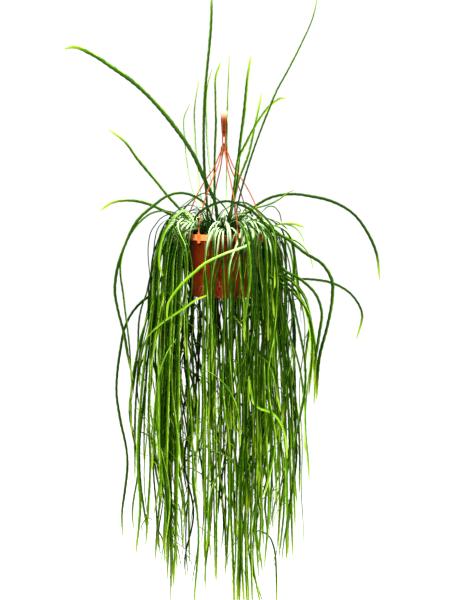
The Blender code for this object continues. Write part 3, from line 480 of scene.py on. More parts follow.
def grow():
    """The leading stems of the plant, as crown number and fine route, and the room that they take."""
    rng = np.random.default_rng(SEED)
    room = Room()
    take_hanger(room)
    stems = known_stems()
    for crown, fine in stems:
        room.take(*even_points(bend_points(fine, SEGMENTS_KNOWN)), crown, STEM_APART)
    held = [sum(1 for stem in stems if stem[0] == crown) for crown in range(THICK_CROWNS)]
    for _ in range(STEMS_OUTER):
        for crown, (azimuth, ring, radius) in enumerate(crown_places()[:THICK_CROWNS]):
            if held[crown] >= (STEMS_OUTER if ring == OUTER_RING else STEMS_INNER):
                continue
            place = outward(azimuth) * ring
            for attempt in range(LEADING_TRIES):
                fine = hanging_stem(rng, azimuth, ring, rng.random() < 0.20)
                if len(fine) < ROUTE_LEAST:
                    continue
                points, along = even_points(bend_points(fine))
                if clear_of_pot(points, place) and room.free(points, along, crown):
                    room.take(points, along, crown, STEM_APART)
                    held[crown] += 1
                    if not hides_pot(points):
                        stems.append((crown, fine))
                    break
    return stems, room


def length_setting(name, description, default):
    """A length among the settings, in metres."""
    return FloatProperty(name=name, description=description, default=default, unit="LENGTH")


def power_setting(name, description, default):
    """A lamp's power among the settings, in watts."""
    return FloatProperty(name=name, description=description, default=default, subtype="POWER")


def count_setting(name, description, default):
    """A number of pieces among the settings."""
    return IntProperty(name=name, description=description, default=default, min=0)


def colour_setting(name, description, default):
    """A colour among the settings, in linear light."""
    return FloatVectorProperty(name=name, description=description, default=default, subtype="COLOR")


class PlantSettings(bpy.types.PropertyGroup):
    """Sizes, numbers and colours of the stems."""

    width: length_setting("Stem width", "Width of a full-grown stem across its flat side", 0.0068)
    thick: length_setting("Stem thickness", "Thickness of a stem at its middle rib", 0.0024)
    notch_depth: FloatProperty(name="Notch depth", description="How deep the notches cut into the margin",
                               default=0.16, min=0.0, max=0.6, subtype="FACTOR")
    fine_stems: count_setting("Fine stems", "Thinner hanging stems between the leading ones", 190)
    crown_arcs: count_setting("Crown arcs", "Short pale stems that bow over the rim", 84)
    twigs: count_setting("Side twigs", "Thin curled twigs on the hanging stems", 420)
    forks: count_setting("Forks", "Side branches that leave a hanging stem and hang beside it", 110)
    curls: count_setting("Curls", "Short pale twigs in the middle of the front", 80)
    hairs: count_setting("Hair roots", "Hair-thin roots that hang from the lowest stems", 90)
    deep: colour_setting("Shaded green", "Stems deep inside the plant", (0.0018, 0.0135, 0.0001))
    dark: colour_setting("Deep green", "Old stems in half shade", (0.0110, 0.0460, 0.0001))
    green: colour_setting("Green", "Full-grown stems", (0.058, 0.166, 0.0008))
    fresh: colour_setting("Fresh green", "Lit and younger stems", (0.205, 0.450, 0.008))
    # Partly old stems, partly a painted highlight of the light from above on the arcs over the crown
    pale: colour_setting("Pale grey-green", "Old stems near the crown", (0.660, 0.930, 0.460))
    tip: colour_setting("Growing tips", "Yellow-green of the youngest growth", (0.260, 0.410, 0.015))


class PotSettings(bpy.types.PropertyGroup):
    """Steps of the pot, and colours of pot, soil and hanger."""

    steps: IntProperty(name="Steps", description="Steps round the pot", default=144, min=24)
    body: colour_setting("Pot", "Brown plastic of the pot", (0.185, 0.022, 0.001))
    # Painted light: this orange is the collar as lit from above
    collar: colour_setting("Collar", "Faded orange of the pot's collar", (0.930, 0.285, 0.085))
    hanger: colour_setting("Hanger", "Orange-brown plastic of hook and strands", (0.450, 0.090, 0.018))
    soil: colour_setting("Soil", "Damp potting soil", (0.020, 0.012, 0.007))


class StageSettings(bpy.types.PropertyGroup):
    """Camera, light and ground."""

    distance: length_setting("Camera distance", "From the camera to the plant's middle", 3.5)
    elevation: FloatProperty(name="Camera height", description="Angle of the view above level",
                             default=math.radians(5.0), subtype="ANGLE")
    lens: FloatProperty(name="Lens", description="Focal length in millimetres", default=105.0)
    floor: length_setting("Floor", "Height of the floor below the seat of the hook", -1.9)
    key: power_setting("Main light", "Power of the main light", 230.0)
    top: power_setting("Top light", "Power of the light from above", 150.0)
    fill: power_setting("Fill light", "Power of the light at the side", 124.0)
    air: FloatProperty(name="Daylight", description="Strength of the even light all round", default=0.26)


class Sheaf:
    """Closed tubes gathered in one mesh. Each is a grid of rings times points per ring; neighbouring rings
    are joined by four-sided faces and the first and the last ring are closed."""

    def __init__(self):
        self.places, self.walls, self.ends, self.growth, self.blade = [], [], [], [], []
        self.count = 0

    def add(self, rings, growth=(0.5, 0.0, 0.0), blade=(0.0, 0.0, 0.0)):
        """Add one tube, with its growth and blade values for all points or for each one."""
        rows, sides = rings.shape[:2]
        k = np.arange(rows - 1)[:, None] * sides
        j = np.arange(sides)[None, :]
        after = (j + 1) % sides
        walls = np.stack([k + j, k + after, k + sides + after, k + sides + j], axis=-1)
        self.walls.append(walls.reshape(-1, 4) + self.count)
        self.ends.append(np.arange(sides)[::-1] + self.count)
        self.ends.append(np.arange(sides) + (rows - 1) * sides + self.count)
        self.places.append(rings.reshape(-1, 3))
        for values, kept in ((growth, self.growth), (blade, self.blade)):
            wide = np.broadcast_to(np.asarray(values, dtype=float), (rows, sides, 3))
            kept.append(wide.reshape(-1, 3))
        self.count += rows * sides

    def mesh(self, name):
        """All tubes as one new mesh, with growth and blade as attributes of its points."""
        places = np.concatenate(self.places)
        walls = np.concatenate(self.walls)
        corners = np.concatenate([walls.ravel()] + self.ends)
        sizes = np.concatenate([np.full(len(walls), 4), [len(end) for end in self.ends]])
        made = bpy.data.meshes.new(name)
        made.vertices.add(len(places))
        made.vertices.foreach_set("co", places.astype(np.float32).ravel())
        made.loops.add(len(corners))
        made.loops.foreach_set("vertex_index", corners.astype(np.int32))
        made.polygons.add(len(sizes))
        made.polygons.foreach_set("loop_start", (np.cumsum(sizes) - sizes).astype(np.int32))
        made.update(calc_edges=True)
        for label, values in (("growth", self.growth), ("blade", self.blade)):
            layer = made.attributes.new(label, "FLOAT_VECTOR", "POINT")
            layer.data.foreach_set("vector", np.concatenate(values).astype(np.float32).ravel())
        return made


def show(name, mesh, material, nodes, smooth=35.0):
    """Put a finished mesh in the scene in place of the part's nodes."""
    made = bpy.data.objects.new(name, mesh)
    bpy.context.scene.collection.objects.link(made)
    mesh.materials.clear()
    mesh.materials.append(material)
    mesh.shade_smooth()
    mesh.set_sharp_from_angle(angle=math.radians(smooth))
    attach(made, "root")
    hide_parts(*nodes)
    return made


def combine(made, name, sheaf, operation):
    """Join a sheaf's shape to an object, or take it out, by a Boolean and keep the result as its mesh."""
    tool = bpy.data.objects.new(name, sheaf.mesh(name))
    bpy.context.scene.collection.objects.link(tool)
    step = made.modifiers.new(name, "BOOLEAN")
    step.operation, step.solver, step.object = operation, "EXACT", tool
    graph = bpy.context.evaluated_depsgraph_get()
    graph.update()
    result = bpy.data.meshes.new_from_object(made.evaluated_get(graph), depsgraph=graph)
    made.modifiers.clear()
    made.data = result
    bpy.data.objects.remove(tool, do_unlink=True)


def unit(vectors):
    """Vectors brought to a length of one."""
    return vectors / np.maximum(np.linalg.norm(vectors, axis=-1, keepdims=True), 1e-9)


def front_level(path, level):
    """For each point of a path, the direction square to the path and to the line of sight, without sudden
    flips; where the path runs towards the viewer it falls back to one level direction."""
    tangent = unit(np.gradient(path, axis=0))
    wide = np.cross([0.0, -1.0, 0.0], tangent)
    flips = np.where((wide[1:] * wide[:-1]).sum(axis=1) < -0.02, -1.0, 1.0)
    wide = wide * np.concatenate([[1.0], np.cumprod(flips)])[:, None]
    wide = wide * (1.0 if wide.sum(axis=0) @ level > 0.0 else -1.0)
    kernel = np.ones(9) / 9.0
    padded = np.pad(wide, ((4, 4), (0, 0)), mode="edge")
    smooth = np.stack([np.convolve(padded[:, k], kernel, mode="valid") for k in range(3)], axis=1)
    return smooth + 0.12 * level


def blade_frame(path, level, turn):
    """Side and face direction at each point of a path: a level direction made square to the path, then
    turned about the path by an angle. Side times face points along the path."""
    tangent = unit(np.gradient(path, axis=0))
    level = np.broadcast_to(level, path.shape)
    side = unit(level - (tangent * level).sum(axis=1, keepdims=True) * tangent)
    face = np.cross(tangent, side)
    c, s = np.cos(turn)[:, None], np.sin(turn)[:, None]
    return side * c + face * s, face * c - side * s


def sweep(path, side, face, section, half_width, half_thick):
    """Rings along a path: place = path + u * half width * side + v * half thickness * face, where (u, v) runs
    round the section. The half width may differ for each point of the section."""
    half_width = np.broadcast_to(np.reshape(half_width, (len(path), -1)), (len(path), len(section)))
    half_thick = np.broadcast_to(np.reshape(half_thick, (len(path), -1)), (len(path), len(section)))
    return (path[:, None, :] + side[:, None, :] * (half_width * section[None, :, 0])[:, :, None]
            + face[:, None, :] * (half_thick * section[None, :, 1])[:, :, None])


def revolve(outline, steps, centre=(0.0, 0.0)):
    """Rings round an upright axis: place = (x + r cos a, y + r sin a, rim + height) for each radius r and
    height of the outline. The outline starts and ends next to the axis."""
    a = np.linspace(0.0, 2.0 * math.pi, steps, endpoint=False)
    radius, height = np.array(outline, dtype=float).T
    rings = np.empty((len(radius), steps, 3))
    rings[..., 0] = centre[0] + radius[:, None] * np.cos(a)
    rings[..., 1] = centre[1] + radius[:, None] * np.sin(a)
    rings[..., 2] = RIM_Z + height[:, None]
    return rings


def rounded_ring(count, power):
    """A rounded rectangle as a superellipse: u = sign(cos a) |cos a|^(2/p), v the same with sin a."""
    a = np.linspace(0.0, 2.0 * math.pi, count, endpoint=False)
    parts = (np.cos(a), np.sin(a))
    return np.stack([np.sign(part) * np.abs(part) ** (2.0 / power) for part in parts], axis=1)


def rounded_block(centre, across, outward_axis, upright, size, power=5.0, rows=14, sides=20):
    """A block with soft edges as a superellipsoid: the rounded rectangle above, narrowed towards both ends of
    its upright axis by (1 - |w|^p)^(1/p), where w runs from -1 to 1 closely spaced near the ends."""
    w = np.sin(np.linspace(-math.pi / 2 + 0.05, math.pi / 2 - 0.05, rows))
    narrow = (1.0 - np.abs(w) ** power) ** (1.0 / power)
    path = centre[None, :] + upright[None, :] * (w * size[2] / 2)[:, None]
    side = np.broadcast_to(across, (rows, 3))
    face = np.broadcast_to(outward_axis, (rows, 3))
    return sweep(path, side, face, rounded_ring(sides, power), narrow * size[0] / 2, narrow * size[1] / 2)


# Colours that follow no setting, in linear light
SHADED_POT = (0.035, 0.004, 0.0004)
ROOT_TRACE = (0.50, 0.20, 0.10)
HOOK_STRIPE_SHADE = (0.070, 0.007, 0.001)
PALE_HOOK_TOP = (0.86, 0.50, 0.34)
# painted highlight on one margin of a stem
LIT_MARGIN = (0.480, 0.760, 0.085)
NOTCH_DOT = (0.50, 0.47, 0.14)
BARK_DARK = (0.030, 0.026, 0.012)
BARK_PALE = (0.200, 0.170, 0.080)
WHITE = (1.0, 1.0, 1.0, 1.0)


class Wiring:
    """Short calls that add and join the nodes of one tree."""

    def __init__(self, tree):
        self.tree = tree

    def add(self, kind, **settings):
        """A new node with the given settings."""
        made = self.tree.nodes.new(kind)
        for key, value in settings.items():
            setattr(made, key, value)
        return made

    def feed(self, socket, value):
        """Lead a node's output into a socket, or set the socket to a value."""
        if isinstance(value, bpy.types.NodeSocket):
            self.tree.links.new(value, socket)
        elif hasattr(value, "__len__") and socket.type == "RGBA" and len(value) == 3:
            socket.default_value = (*value, 1.0)
        else:
            socket.default_value = value

    def math(self, operation, a, b=0.0, c=0.0, clamp=False):
        """One step of arithmetic."""
        made = self.add("ShaderNodeMath", operation=operation, use_clamp=clamp)
        for socket, value in zip(made.inputs, (a, b, c)):
            self.feed(socket, value)
        return made.outputs[0]

    def times(self, a, b, clamp=False):
        return self.math("MULTIPLY", a, b, clamp=clamp)

    def plus(self, a, b):
        return self.math("ADD", a, b)

    def place(self):
        """Where a point of the piece is, in metres."""
        return self.add("ShaderNodeTexCoord").outputs["Object"]

    def rise(self, value, low, high, to_low=0.0, to_high=1.0):
        """A smooth step from one value to another between two limits."""
        made = self.add("ShaderNodeMapRange", interpolation_type="SMOOTHSTEP")
        for socket, given in zip(made.inputs, (value, low, high, to_low, to_high)):
            self.feed(socket, given)
        return made.outputs[0]

    def mix(self, share, a, b, blend="MIX"):
        """Colour a turned into colour b by a share."""
        made = self.add("ShaderNodeMix", data_type="RGBA", blend_type=blend)
        self.feed(made.inputs["Factor"], share)
        self.feed(made.inputs[6], a)
        self.feed(made.inputs[7], b)
        return made.outputs[2]

    def noise(self, place, scale, detail=3.0, roughness=0.55, distortion=0.0):
        """Soft noise between 0 and 1, finer as the scale grows."""
        made = self.add("ShaderNodeTexNoise")
        self.feed(made.inputs["Vector"], place)
        for key, value in (("Scale", scale), ("Detail", detail), ("Roughness", roughness),
                           ("Distortion", distortion)):
            made.inputs[key].default_value = value
        return made.outputs["Fac"]

    def drawn_noise(self, values, scales, detail, roughness=0.6, distortion=0.0):
        """Noise over three values, each times its own scale."""
        place = self.join(*[self.times(value, scale) for value, scale in zip(values, scales)])
        return self.noise(place, 1.0, detail, roughness, distortion)

    def parts(self, vector):
        """The three parts of a vector."""
        made = self.add("ShaderNodeSeparateXYZ")
        self.feed(made.inputs[0], vector)
        return made.outputs

    def join(self, x, y, z):
        """A vector of three parts."""
        made = self.add("ShaderNodeCombineXYZ")
        for socket, value in zip(made.inputs, (x, y, z)):
            self.feed(socket, value)
        return made.outputs[0]

    def ramp(self, value, stops):
        """The colour that a value has between given stops."""
        made = self.add("ShaderNodeValToRGB")
        self.feed(made.inputs[0], value)
        band = made.color_ramp
        while len(band.elements) < len(stops):
            band.elements.new(1.0)
        for element, (place, colour) in zip(band.elements, stops):
            element.position = place
            element.color = (*colour, 1.0)
        return made.outputs[0]


def blank(name, roughness, specular=0.5):
    """A new material with only its shader and output; gives the material, its wiring and the shader."""
    made = bpy.data.materials.new(name)
    made.use_nodes = True
    shader = made.node_tree.nodes["Principled BSDF"]
    shader.inputs["Roughness"].default_value = roughness
    shader.inputs["Specular IOR Level"].default_value = specular
    return made, Wiring(made.node_tree), shader


def relief(wiring, shader, height, distance, strength=1.0):
    """Let a height from 0 to 1 shade the surface as if it rose by a distance in metres."""
    bump = wiring.add("ShaderNodeBump")
    bump.inputs["Strength"].default_value = strength
    bump.inputs["Distance"].default_value = distance
    wiring.feed(bump.inputs["Height"], height)
    wiring.feed(shader.inputs["Normal"], bump.outputs[0])


def make_wear_and_shade_group():
    """Wear and painted shade that pot and hanger share: soft mottling as grime, upright dark bands of painted
    shade like that of the stems, fine scratches and grit. It puts out a share of grime and painted shade, a
    share of scuffing, a share of winding lines and a height."""
    group = bpy.data.node_groups.new("plastic_weathering", "ShaderNodeTree")
    group.interface.new_socket("Place", in_out="INPUT", socket_type="NodeSocketVector")
    group.interface.new_socket("Stains", in_out="INPUT", socket_type="NodeSocketFloat")
    w = Wiring(group)
    source = w.add("NodeGroupInput")
    place = source.outputs["Place"]
    axes = w.parts(place)
    mottle = w.noise(place, 38.0, 5.0, 0.6)
    # Painted shade: upright dark bands, like the shade that the stems cast on the pot
    painted_shade_bands = w.drawn_noise(axes, (150.0, 150.0, 14.0), 4.0)
    scratches = w.drawn_noise(axes, (60.0, 60.0, 900.0), 2.0, 0.5, 1.2)
    bent = w.drawn_noise(axes, (24.0, 24.0, 9.0), 2.0, 0.5, 0.6)
    grit = w.noise(place, 700.0, 2.0, 0.5)
    lines = w.rise(w.math("ABSOLUTE", w.math("SUBTRACT", bent, 0.56)), 0.0, 0.007, 1.0, 0.0)
    # Grime from the mottling and painted shade from the upright bands
    dirt_and_shade = w.times(w.plus(w.rise(mottle, 0.46, 0.74), w.rise(painted_shade_bands, 0.52, 0.80)),
                   source.outputs["Stains"], clamp=True)
    scuffs = w.times(w.rise(scratches, 0.60, 0.72), w.rise(mottle, 0.30, 0.62), clamp=True)
    height = w.plus(w.times(mottle, 0.6), w.plus(w.times(grit, 0.14), w.times(scuffs, -0.25)))
    given = {"Dirt": dirt_and_shade, "Scuffs": scuffs, "Lines": lines, "Height": height}
    for label in given:
        group.interface.new_socket(label, in_out="OUTPUT", socket_type="NodeSocketFloat")
    result = w.add("NodeGroupOutput")
    for label, value in given.items():
        w.feed(result.inputs[label], value)
    return group


def plastic_material(name, dirt_and_shade_strength, group):
    """Thin moulded plastic with a satin face, duller where grime and painted shade lie. Gives the material,
    its wiring, its shader and the node of the wear and painted shade; its colour is still to be fed."""
    made, w, shader = blank(name, 0.40, specular=0.06)
    wear_and_shade = w.add("ShaderNodeGroup", node_tree=group)
    w.feed(wear_and_shade.inputs["Place"], w.place())
    wear_and_shade.inputs["Stains"].default_value = dirt_and_shade_strength
    w.feed(shader.inputs["Roughness"], w.plus(0.30, w.times(wear_and_shade.outputs["Dirt"], 0.30)))
    relief(w, shader, wear_and_shade.outputs["Height"], 0.0004, 0.6)
    return made, w, shader, wear_and_shade


def wear_and_shade_colour(w, wear_and_shade, colour):
    """A plastic's colour darkened by grime and painted shade, and paled by scuffs."""
    dirty_and_shaded = w.mix(w.times(wear_and_shade.outputs["Dirt"], 0.80), colour, tuple(c * 0.12 for c in colour))
    paler = tuple(min(1.0, c * 1.7 + 0.06) for c in colour)
    return w.mix(w.times(wear_and_shade.outputs["Scuffs"], 0.45), dirty_and_shaded, paler)


def pot_material(settings, group):
    """The pot's plastic: brown below and darker under the collar as painted shade, lit orange at the collar
    as painted light that gives way to painted shade towards the right, with pale lines like the traces of
    roots on the body."""
    made, w, shader, wear_and_shade = plastic_material("pot_plastic", 1.0, group)
    side, _, height = w.parts(w.place())
    collar_foot = RIM_Z - COLLAR_HEIGHT
    # Painted shade: the body darkens towards the foot of the collar
    body = w.mix(w.rise(height, RIM_Z - 0.080, collar_foot, 0.0, 0.60),
                 wear_and_shade_colour(w, wear_and_shade, settings.body), SHADED_POT)
    traced = w.mix(w.times(wear_and_shade.outputs["Lines"], 0.60), body, ROOT_TRACE)
    # Painted light: the collar is given a lit orange, with a little grime
    collar = w.mix(w.times(wear_and_shade.outputs["Dirt"], 0.20), settings.collar, settings.body)
    # Painted shade: the collar turns back to the body's colour towards the right
    collar = w.mix(w.rise(side, -0.034, -0.018, 0.0, 0.92), collar, body)
    lit = w.rise(height, collar_foot - 0.0006, collar_foot + 0.0006)
    w.feed(shader.inputs["Base Color"], w.mix(lit, traced, collar))
    return made


def hook_material(settings, group):
    """The hook's plastic: red-brown with upright stripes of painted shade, one down its middle, and
    paler towards the bend.
    """
    made, w, shader, wear_and_shade = plastic_material("hook_plastic", 0.25, group)
    place = w.place()
    x, _, z = w.parts(place)
    # Painted shade: dark upright stripes, one down the middle of the strap
    wave = w.math("COSINE", w.times(x, 2.0 * math.pi / 0.0052))
    shade_stripes = w.rise(w.plus(wave, w.times(w.noise(place, 300.0, 2.0), 0.5)), -0.3, 1.0)
    body = w.mix(shade_stripes, wear_and_shade_colour(w, wear_and_shade, tuple(c * 0.52 for c in settings.hanger)), HOOK_STRIPE_SHADE)
    # Paler towards the bend
    w.feed(shader.inputs["Base Color"], w.mix(w.rise(z, -0.018, 0.012, 0.0, 0.90), body, PALE_HOOK_TOP))
    return made


def strand_material(settings, group):
    """The strands' plastic: red-brown above, and at the clips a lit orange that is painted light."""
    made, w, shader, wear_and_shade = plastic_material("hanger_plastic", 0.5, group)
    _, _, height = w.parts(w.place())
    strand = wear_and_shade_colour(w, wear_and_shade, tuple(c * 0.72 for c in settings.hanger))
    # Painted light: the clips are a lit, brighter copy of the strands' colour
    clip = wear_and_shade_colour(w, wear_and_shade, tuple(min(1.0, c * 1.9) for c in settings.hanger))
    w.feed(shader.inputs["Base Color"], w.mix(w.rise(height, RIM_Z + 0.012, RIM_Z), strand, clip))
    return made


def soil_material(settings):
    """Damp peat with paler fibres and grit."""
    made, w, shader = blank("damp_soil", 0.92)
    place = w.place()
    crumbs = w.noise(place, 260.0, 6.0, 0.65)
    clumps = w.noise(place, 70.0, 3.0, 0.5)
    dark = tuple(c * 0.35 for c in settings.soil)
    pale = tuple(min(1.0, c * 4.5 + 0.02) for c in settings.soil)
    mixed = w.ramp(w.plus(w.times(crumbs, 0.7), w.times(clumps, 0.3)),
                   [(0.30, dark), (0.52, settings.soil), (0.70, pale)])
    w.feed(shader.inputs["Base Color"], mixed)
    w.feed(shader.inputs["Roughness"], w.rise(clumps, 0.35, 0.65, 0.80, 0.98))
    relief(w, shader, crumbs, 0.0016)
    return made


def stem_material(settings):
    """Waxy flat stems. The tone of a stem, a fine grain along it, its lighter rib and painted light that
    makes one side lighter and the other darker choose a green between deep and fresh; it turns yellow-green
    at its growing end, carries a painted highlight on one margin and pales to grey-green at the crown, partly
    as old stems and partly as a painted highlight; small pale dots sit in the notches; the crown's own wood
    is brown."""
    made, w, shader = blank("cactus_stem", 0.50, specular=0.02)
    tone, along, paleness = w.parts(w.add("ShaderNodeAttribute", attribute_name="growth").outputs["Vector"])
    across, reach, kind = w.parts(w.add("ShaderNodeAttribute", attribute_name="blade").outputs["Vector"])
    place = w.place()
    grain = w.drawn_noise((across, reach, tone), (1.3, 26.0, 40.0), 4.0)
    patches = w.noise(place, 26.0, 3.0, 0.55)
    edge = w.math("ABSOLUTE", across)
    rib = w.rise(edge, 0.05, 0.80, 1.0, 0.0)
    value = w.plus(w.times(tone, 0.80), w.plus(w.times(grain, 0.22), w.times(patches, 0.14)))
    # Painted light: one side of the blade lighter, the other darker
    value = w.plus(value, w.plus(w.times(rib, 0.04), w.times(across, 0.15)))
    body = w.ramp(value, [(0.22, settings.deep), (0.46, settings.dark), (0.71, settings.green),
                          (1.0, settings.fresh)])
    body = w.mix(w.times(w.rise(along, 0.80, 1.0), 0.85), body, settings.tip)
    # Painted highlight: a lit margin on the brighter stems
    painted_highlight = w.times(w.rise(across, 0.35, 0.85), w.rise(tone, 0.20, 0.50), clamp=True)
    body = w.mix(w.times(painted_highlight, w.rise(grain, 0.42, 0.60, 0.05, 0.90)), body, LIT_MARGIN)
    # Grey-green of old stems at the crown, partly a painted highlight from above, paler on the blade's lit
    # side
    paler = w.times(w.rise(paleness, 0.08, 0.52), w.rise(grain, 0.25, 0.60, 0.55, 1.0), clamp=True)
    body = w.mix(w.times(paler, w.rise(across, -1.0, 0.3, 0.35, 1.0)), body, settings.pale)
    spot = w.math("FRACT", w.times(reach, 1.0 / NOTCH_RUN))
    dots = w.times(w.rise(spot, 0.04, 0.16, 1.0, 0.0), w.rise(edge, 0.70, 0.90), clamp=True)
    body = w.mix(w.times(dots, 0.25), body, NOTCH_DOT)
    bark = w.ramp(w.noise(place, 420.0, 4.0, 0.6), [(0.35, BARK_DARK), (0.65, BARK_PALE)])
    w.feed(shader.inputs["Base Color"], w.mix(w.rise(kind, 1.4, 1.6), body, bark))
    w.feed(shader.inputs["Roughness"], w.rise(grain, 0.30, 0.70, 0.44, 0.60))
    height = w.plus(w.times(grain, 0.5), w.times(w.noise(place, 900.0, 2.0), 0.12))
    relief(w, shader, height, 0.0006, 0.5)
    return made


def plain_material(name, colour, glow):
    """Matt paper that is lit evenly: a faint cloudiness keeps it from being one flat tone."""
    made, w, shader = blank(name, 0.95, specular=0.1)
    cloudy = w.rise(w.noise(w.place(), 1.5, 2.0), 0.3, 0.7, 0.985, 1.0)
    w.feed(shader.inputs["Base Color"], w.mix(1.0, colour, w.join(cloudy, cloudy, cloudy), "MULTIPLY"))
    shader.inputs["Emission Color"].default_value = WHITE
    shader.inputs["Emission Strength"].default_value = glow
    return made


def pot_outline():
    """Half section of the pot from the middle of its underside, up its outer face, over the lip and down
    inside to the middle of its floor."""
    top, low = -COLLAR_HEIGHT, -POT_HEIGHT
    floor = low + POT_FLOOR
    lip = [(RIM_RADIUS - 0.0010 + 0.0010 * math.cos(a), -0.0010 + 0.0010 * math.sin(a))
           for a in np.linspace(0.0, math.pi, 7)]
    wall = [(SHOULDER_RADIUS + (BASE_RADIUS - SHOULDER_RADIUS) * s, top + (low - top) * s)
            for s in np.linspace(0.96, 0.02, 14)]
    return ([(AXIS_RADIUS, low), (BASE_RADIUS - 0.0040, low), (BASE_RADIUS - 0.0036, low + 0.0008),
             (BASE_RADIUS - 0.0024, low + 0.0008), (BASE_RADIUS - 0.0018, low), (BASE_RADIUS - 0.0010, low),
             (BASE_RADIUS - 0.0002, low + 0.0006)] + wall
            + [(SHOULDER_RADIUS, top - 0.0006), (SHOULDER_RADIUS + 0.0004, top), (RIM_RADIUS - 0.0012, top),
               (RIM_RADIUS - 0.0007, top + 0.0004), (RIM_RADIUS - 0.0004, top + 0.0030),
               (RIM_RADIUS - 0.0004, -0.0040), (RIM_RADIUS, -0.0034)] + lip
            + [(RIM_RADIUS - 0.0022, -0.0030), (RIM_RADIUS - 0.0024, top + 0.0016),
               (SHOULDER_RADIUS - WALL, top - 0.0002), (inner_radius(-0.070), -0.070),
               (inner_radius(floor) + 0.0002, floor + 0.0020), (inner_radius(floor) - 0.0016, floor),
               (AXIS_RADIUS, floor)])


def inner_radius(height):
    """Radius of the pot's inner face at a height below the collar."""
    share = (height + COLLAR_HEIGHT) / (COLLAR_HEIGHT - POT_HEIGHT)
    return SHOULDER_RADIUS - WALL + (BASE_RADIUS - SHOULDER_RADIUS) * share


def make_pot(settings, material):
    """The pot's outline turned round its axis, with a ring of round holes cut through the floor."""
    pot = Sheaf()
    pot.add(revolve(pot_outline(), settings.steps))
    made = show("finished_pot", pot.mesh("finished_pot"), material, ["pot"])
    holes = Sheaf()
    ends = [(DRAIN_RADIUS, -POT_HEIGHT - 0.004), (DRAIN_RADIUS, -POT_HEIGHT + 0.006)]
    for k in range(DRAIN_COUNT):
        x, y, _ = outward(360.0 * (k + 0.5) / DRAIN_COUNT) * DRAIN_RING
        holes.add(revolve(ends, 28, (x, y)))
    combine(made, "drain_tool", holes, "DIFFERENCE")
    made.data.set_sharp_from_angle(angle=math.radians(32.0))


def make_soil(settings, material):
    """A disc whose top is a polar grid lifted by a dome, by a few long waves and by seeded crumbs."""
    rng = np.random.default_rng(SEED + 5)
    edge = inner_radius(SOIL_TOP) - GAP
    radius = np.concatenate([[AXIS_RADIUS], np.linspace(0.002, edge - 0.0004, 46)])
    steps = 150
    rings = revolve([(r, SOIL_TOP) for r in radius], steps)
    share = radius / edge
    crumb = rng.normal(0.0, 1.0, (len(radius), steps))
    crumb = (crumb + np.roll(crumb, 1, axis=1) + np.roll(crumb, 1, axis=0)) / 1.7
    x, y = rings[..., 0], rings[..., 1]
    wave = 0.0009 * (np.sin(95 * x + 1.3) * np.cos(80 * y) + 0.6 * np.sin(210 * x - 160 * y))
    fade = np.clip((1.0 - share) * 12.0, 0.0, 1.0)[:, None]
    rings[..., 2] += (SOIL_DOME * (1.0 - share ** 2))[:, None] + fade * (wave + 0.0008 * crumb)
    bottom = -POT_HEIGHT + POT_FLOOR + GAP
    side = revolve([(inner_radius(bottom) - 2 * GAP, bottom), (AXIS_RADIUS, bottom)], steps)
    soil = Sheaf()
    soil.add(np.concatenate([rings, side])[::-1])
    show("finished_soil", soil.mesh("finished_soil"), material, ["soil"], 60.0)


def hook_line():
    """Middle line of the hook as points of sideways place, height above the rim and width: up from the hub,
    over the bend and down at the tip."""
    radius, centre = HOOK_THROAT + HOOK_THICK / 2, -RIM_Z - HOOK_THROAT
    side = [(0.0, HOOK_FOOT + rise, wide) for rise, wide in
            ((0.0, .0074), (.006, .0076), (.013, .0078), (.020, .0081), (.028, .0088))]
    side += [(-.0025, centre - .025, .0095), (-.007, centre - .017, .0104), (-.012, centre - .009, .0112)]
    bend = [(-radius * math.cos(a), centre + radius * math.sin(a), .0124)
            for a in np.radians(np.arange(0.0, 181.0, 15.0))]
    tip = [(radius + .001, centre - .010, .0112), (radius + .0035, centre - .017, .0080)]
    return smooth_route(side + bend + tip, 0.0012)


def make_hook(material):
    """The ribbed strap: a rounded rectangle with two shallow grooves on its faces, carried along a smooth
    line, with a long slot cut near its foot and a round hub below."""
    fine = hook_line()
    path = np.stack([np.zeros(len(fine)), fine[:, 0], fine[:, 1] + RIM_Z], axis=1)
    u, v = rounded_ring(48, 7.0).T
    groove = 1.0 - 0.30 * np.exp(-((np.abs(u) - 0.36) / 0.10) ** 2) * (np.abs(v) > 0.5)
    ends = np.minimum(1.0, 0.55 + 0.45 * np.arange(len(fine))[::-1] / 3.0)
    across, face = blade_frame(path, np.array([1.0, 0.0, 0.0]), np.zeros(len(path)))
    strap = Sheaf()
    strap.add(sweep(path, across, face, np.stack([u, v * groove], axis=1), fine[:, 2] / 2 * ends,
                    HOOK_THICK / 2 * ends))
    made = show("finished_hook", strap.mesh("finished_hook"), material, ["hanger_hook"])
    rings = np.zeros((2, 28, 3))
    rings[..., 0], rings[..., 2] = (rounded_ring(28, 2.6) * SLOT_HALF).T
    rings[..., 2] += RIM_Z + HOOK_FOOT + 0.0140
    rings[0, :, 1], rings[1, :, 1] = 0.01, -0.01
    slot, hub = Sheaf(), Sheaf()
    slot.add(rings)
    combine(made, "slot_tool", slot, "DIFFERENCE")
    hub.add(revolve([(radius, HUB_HEIGHT + rise) for radius, rise in HUB_OUTLINE], 48))
    combine(made, "hub", hub, "UNION")
    made.data.shade_smooth()
    made.data.set_sharp_from_angle(angle=math.radians(30.0))


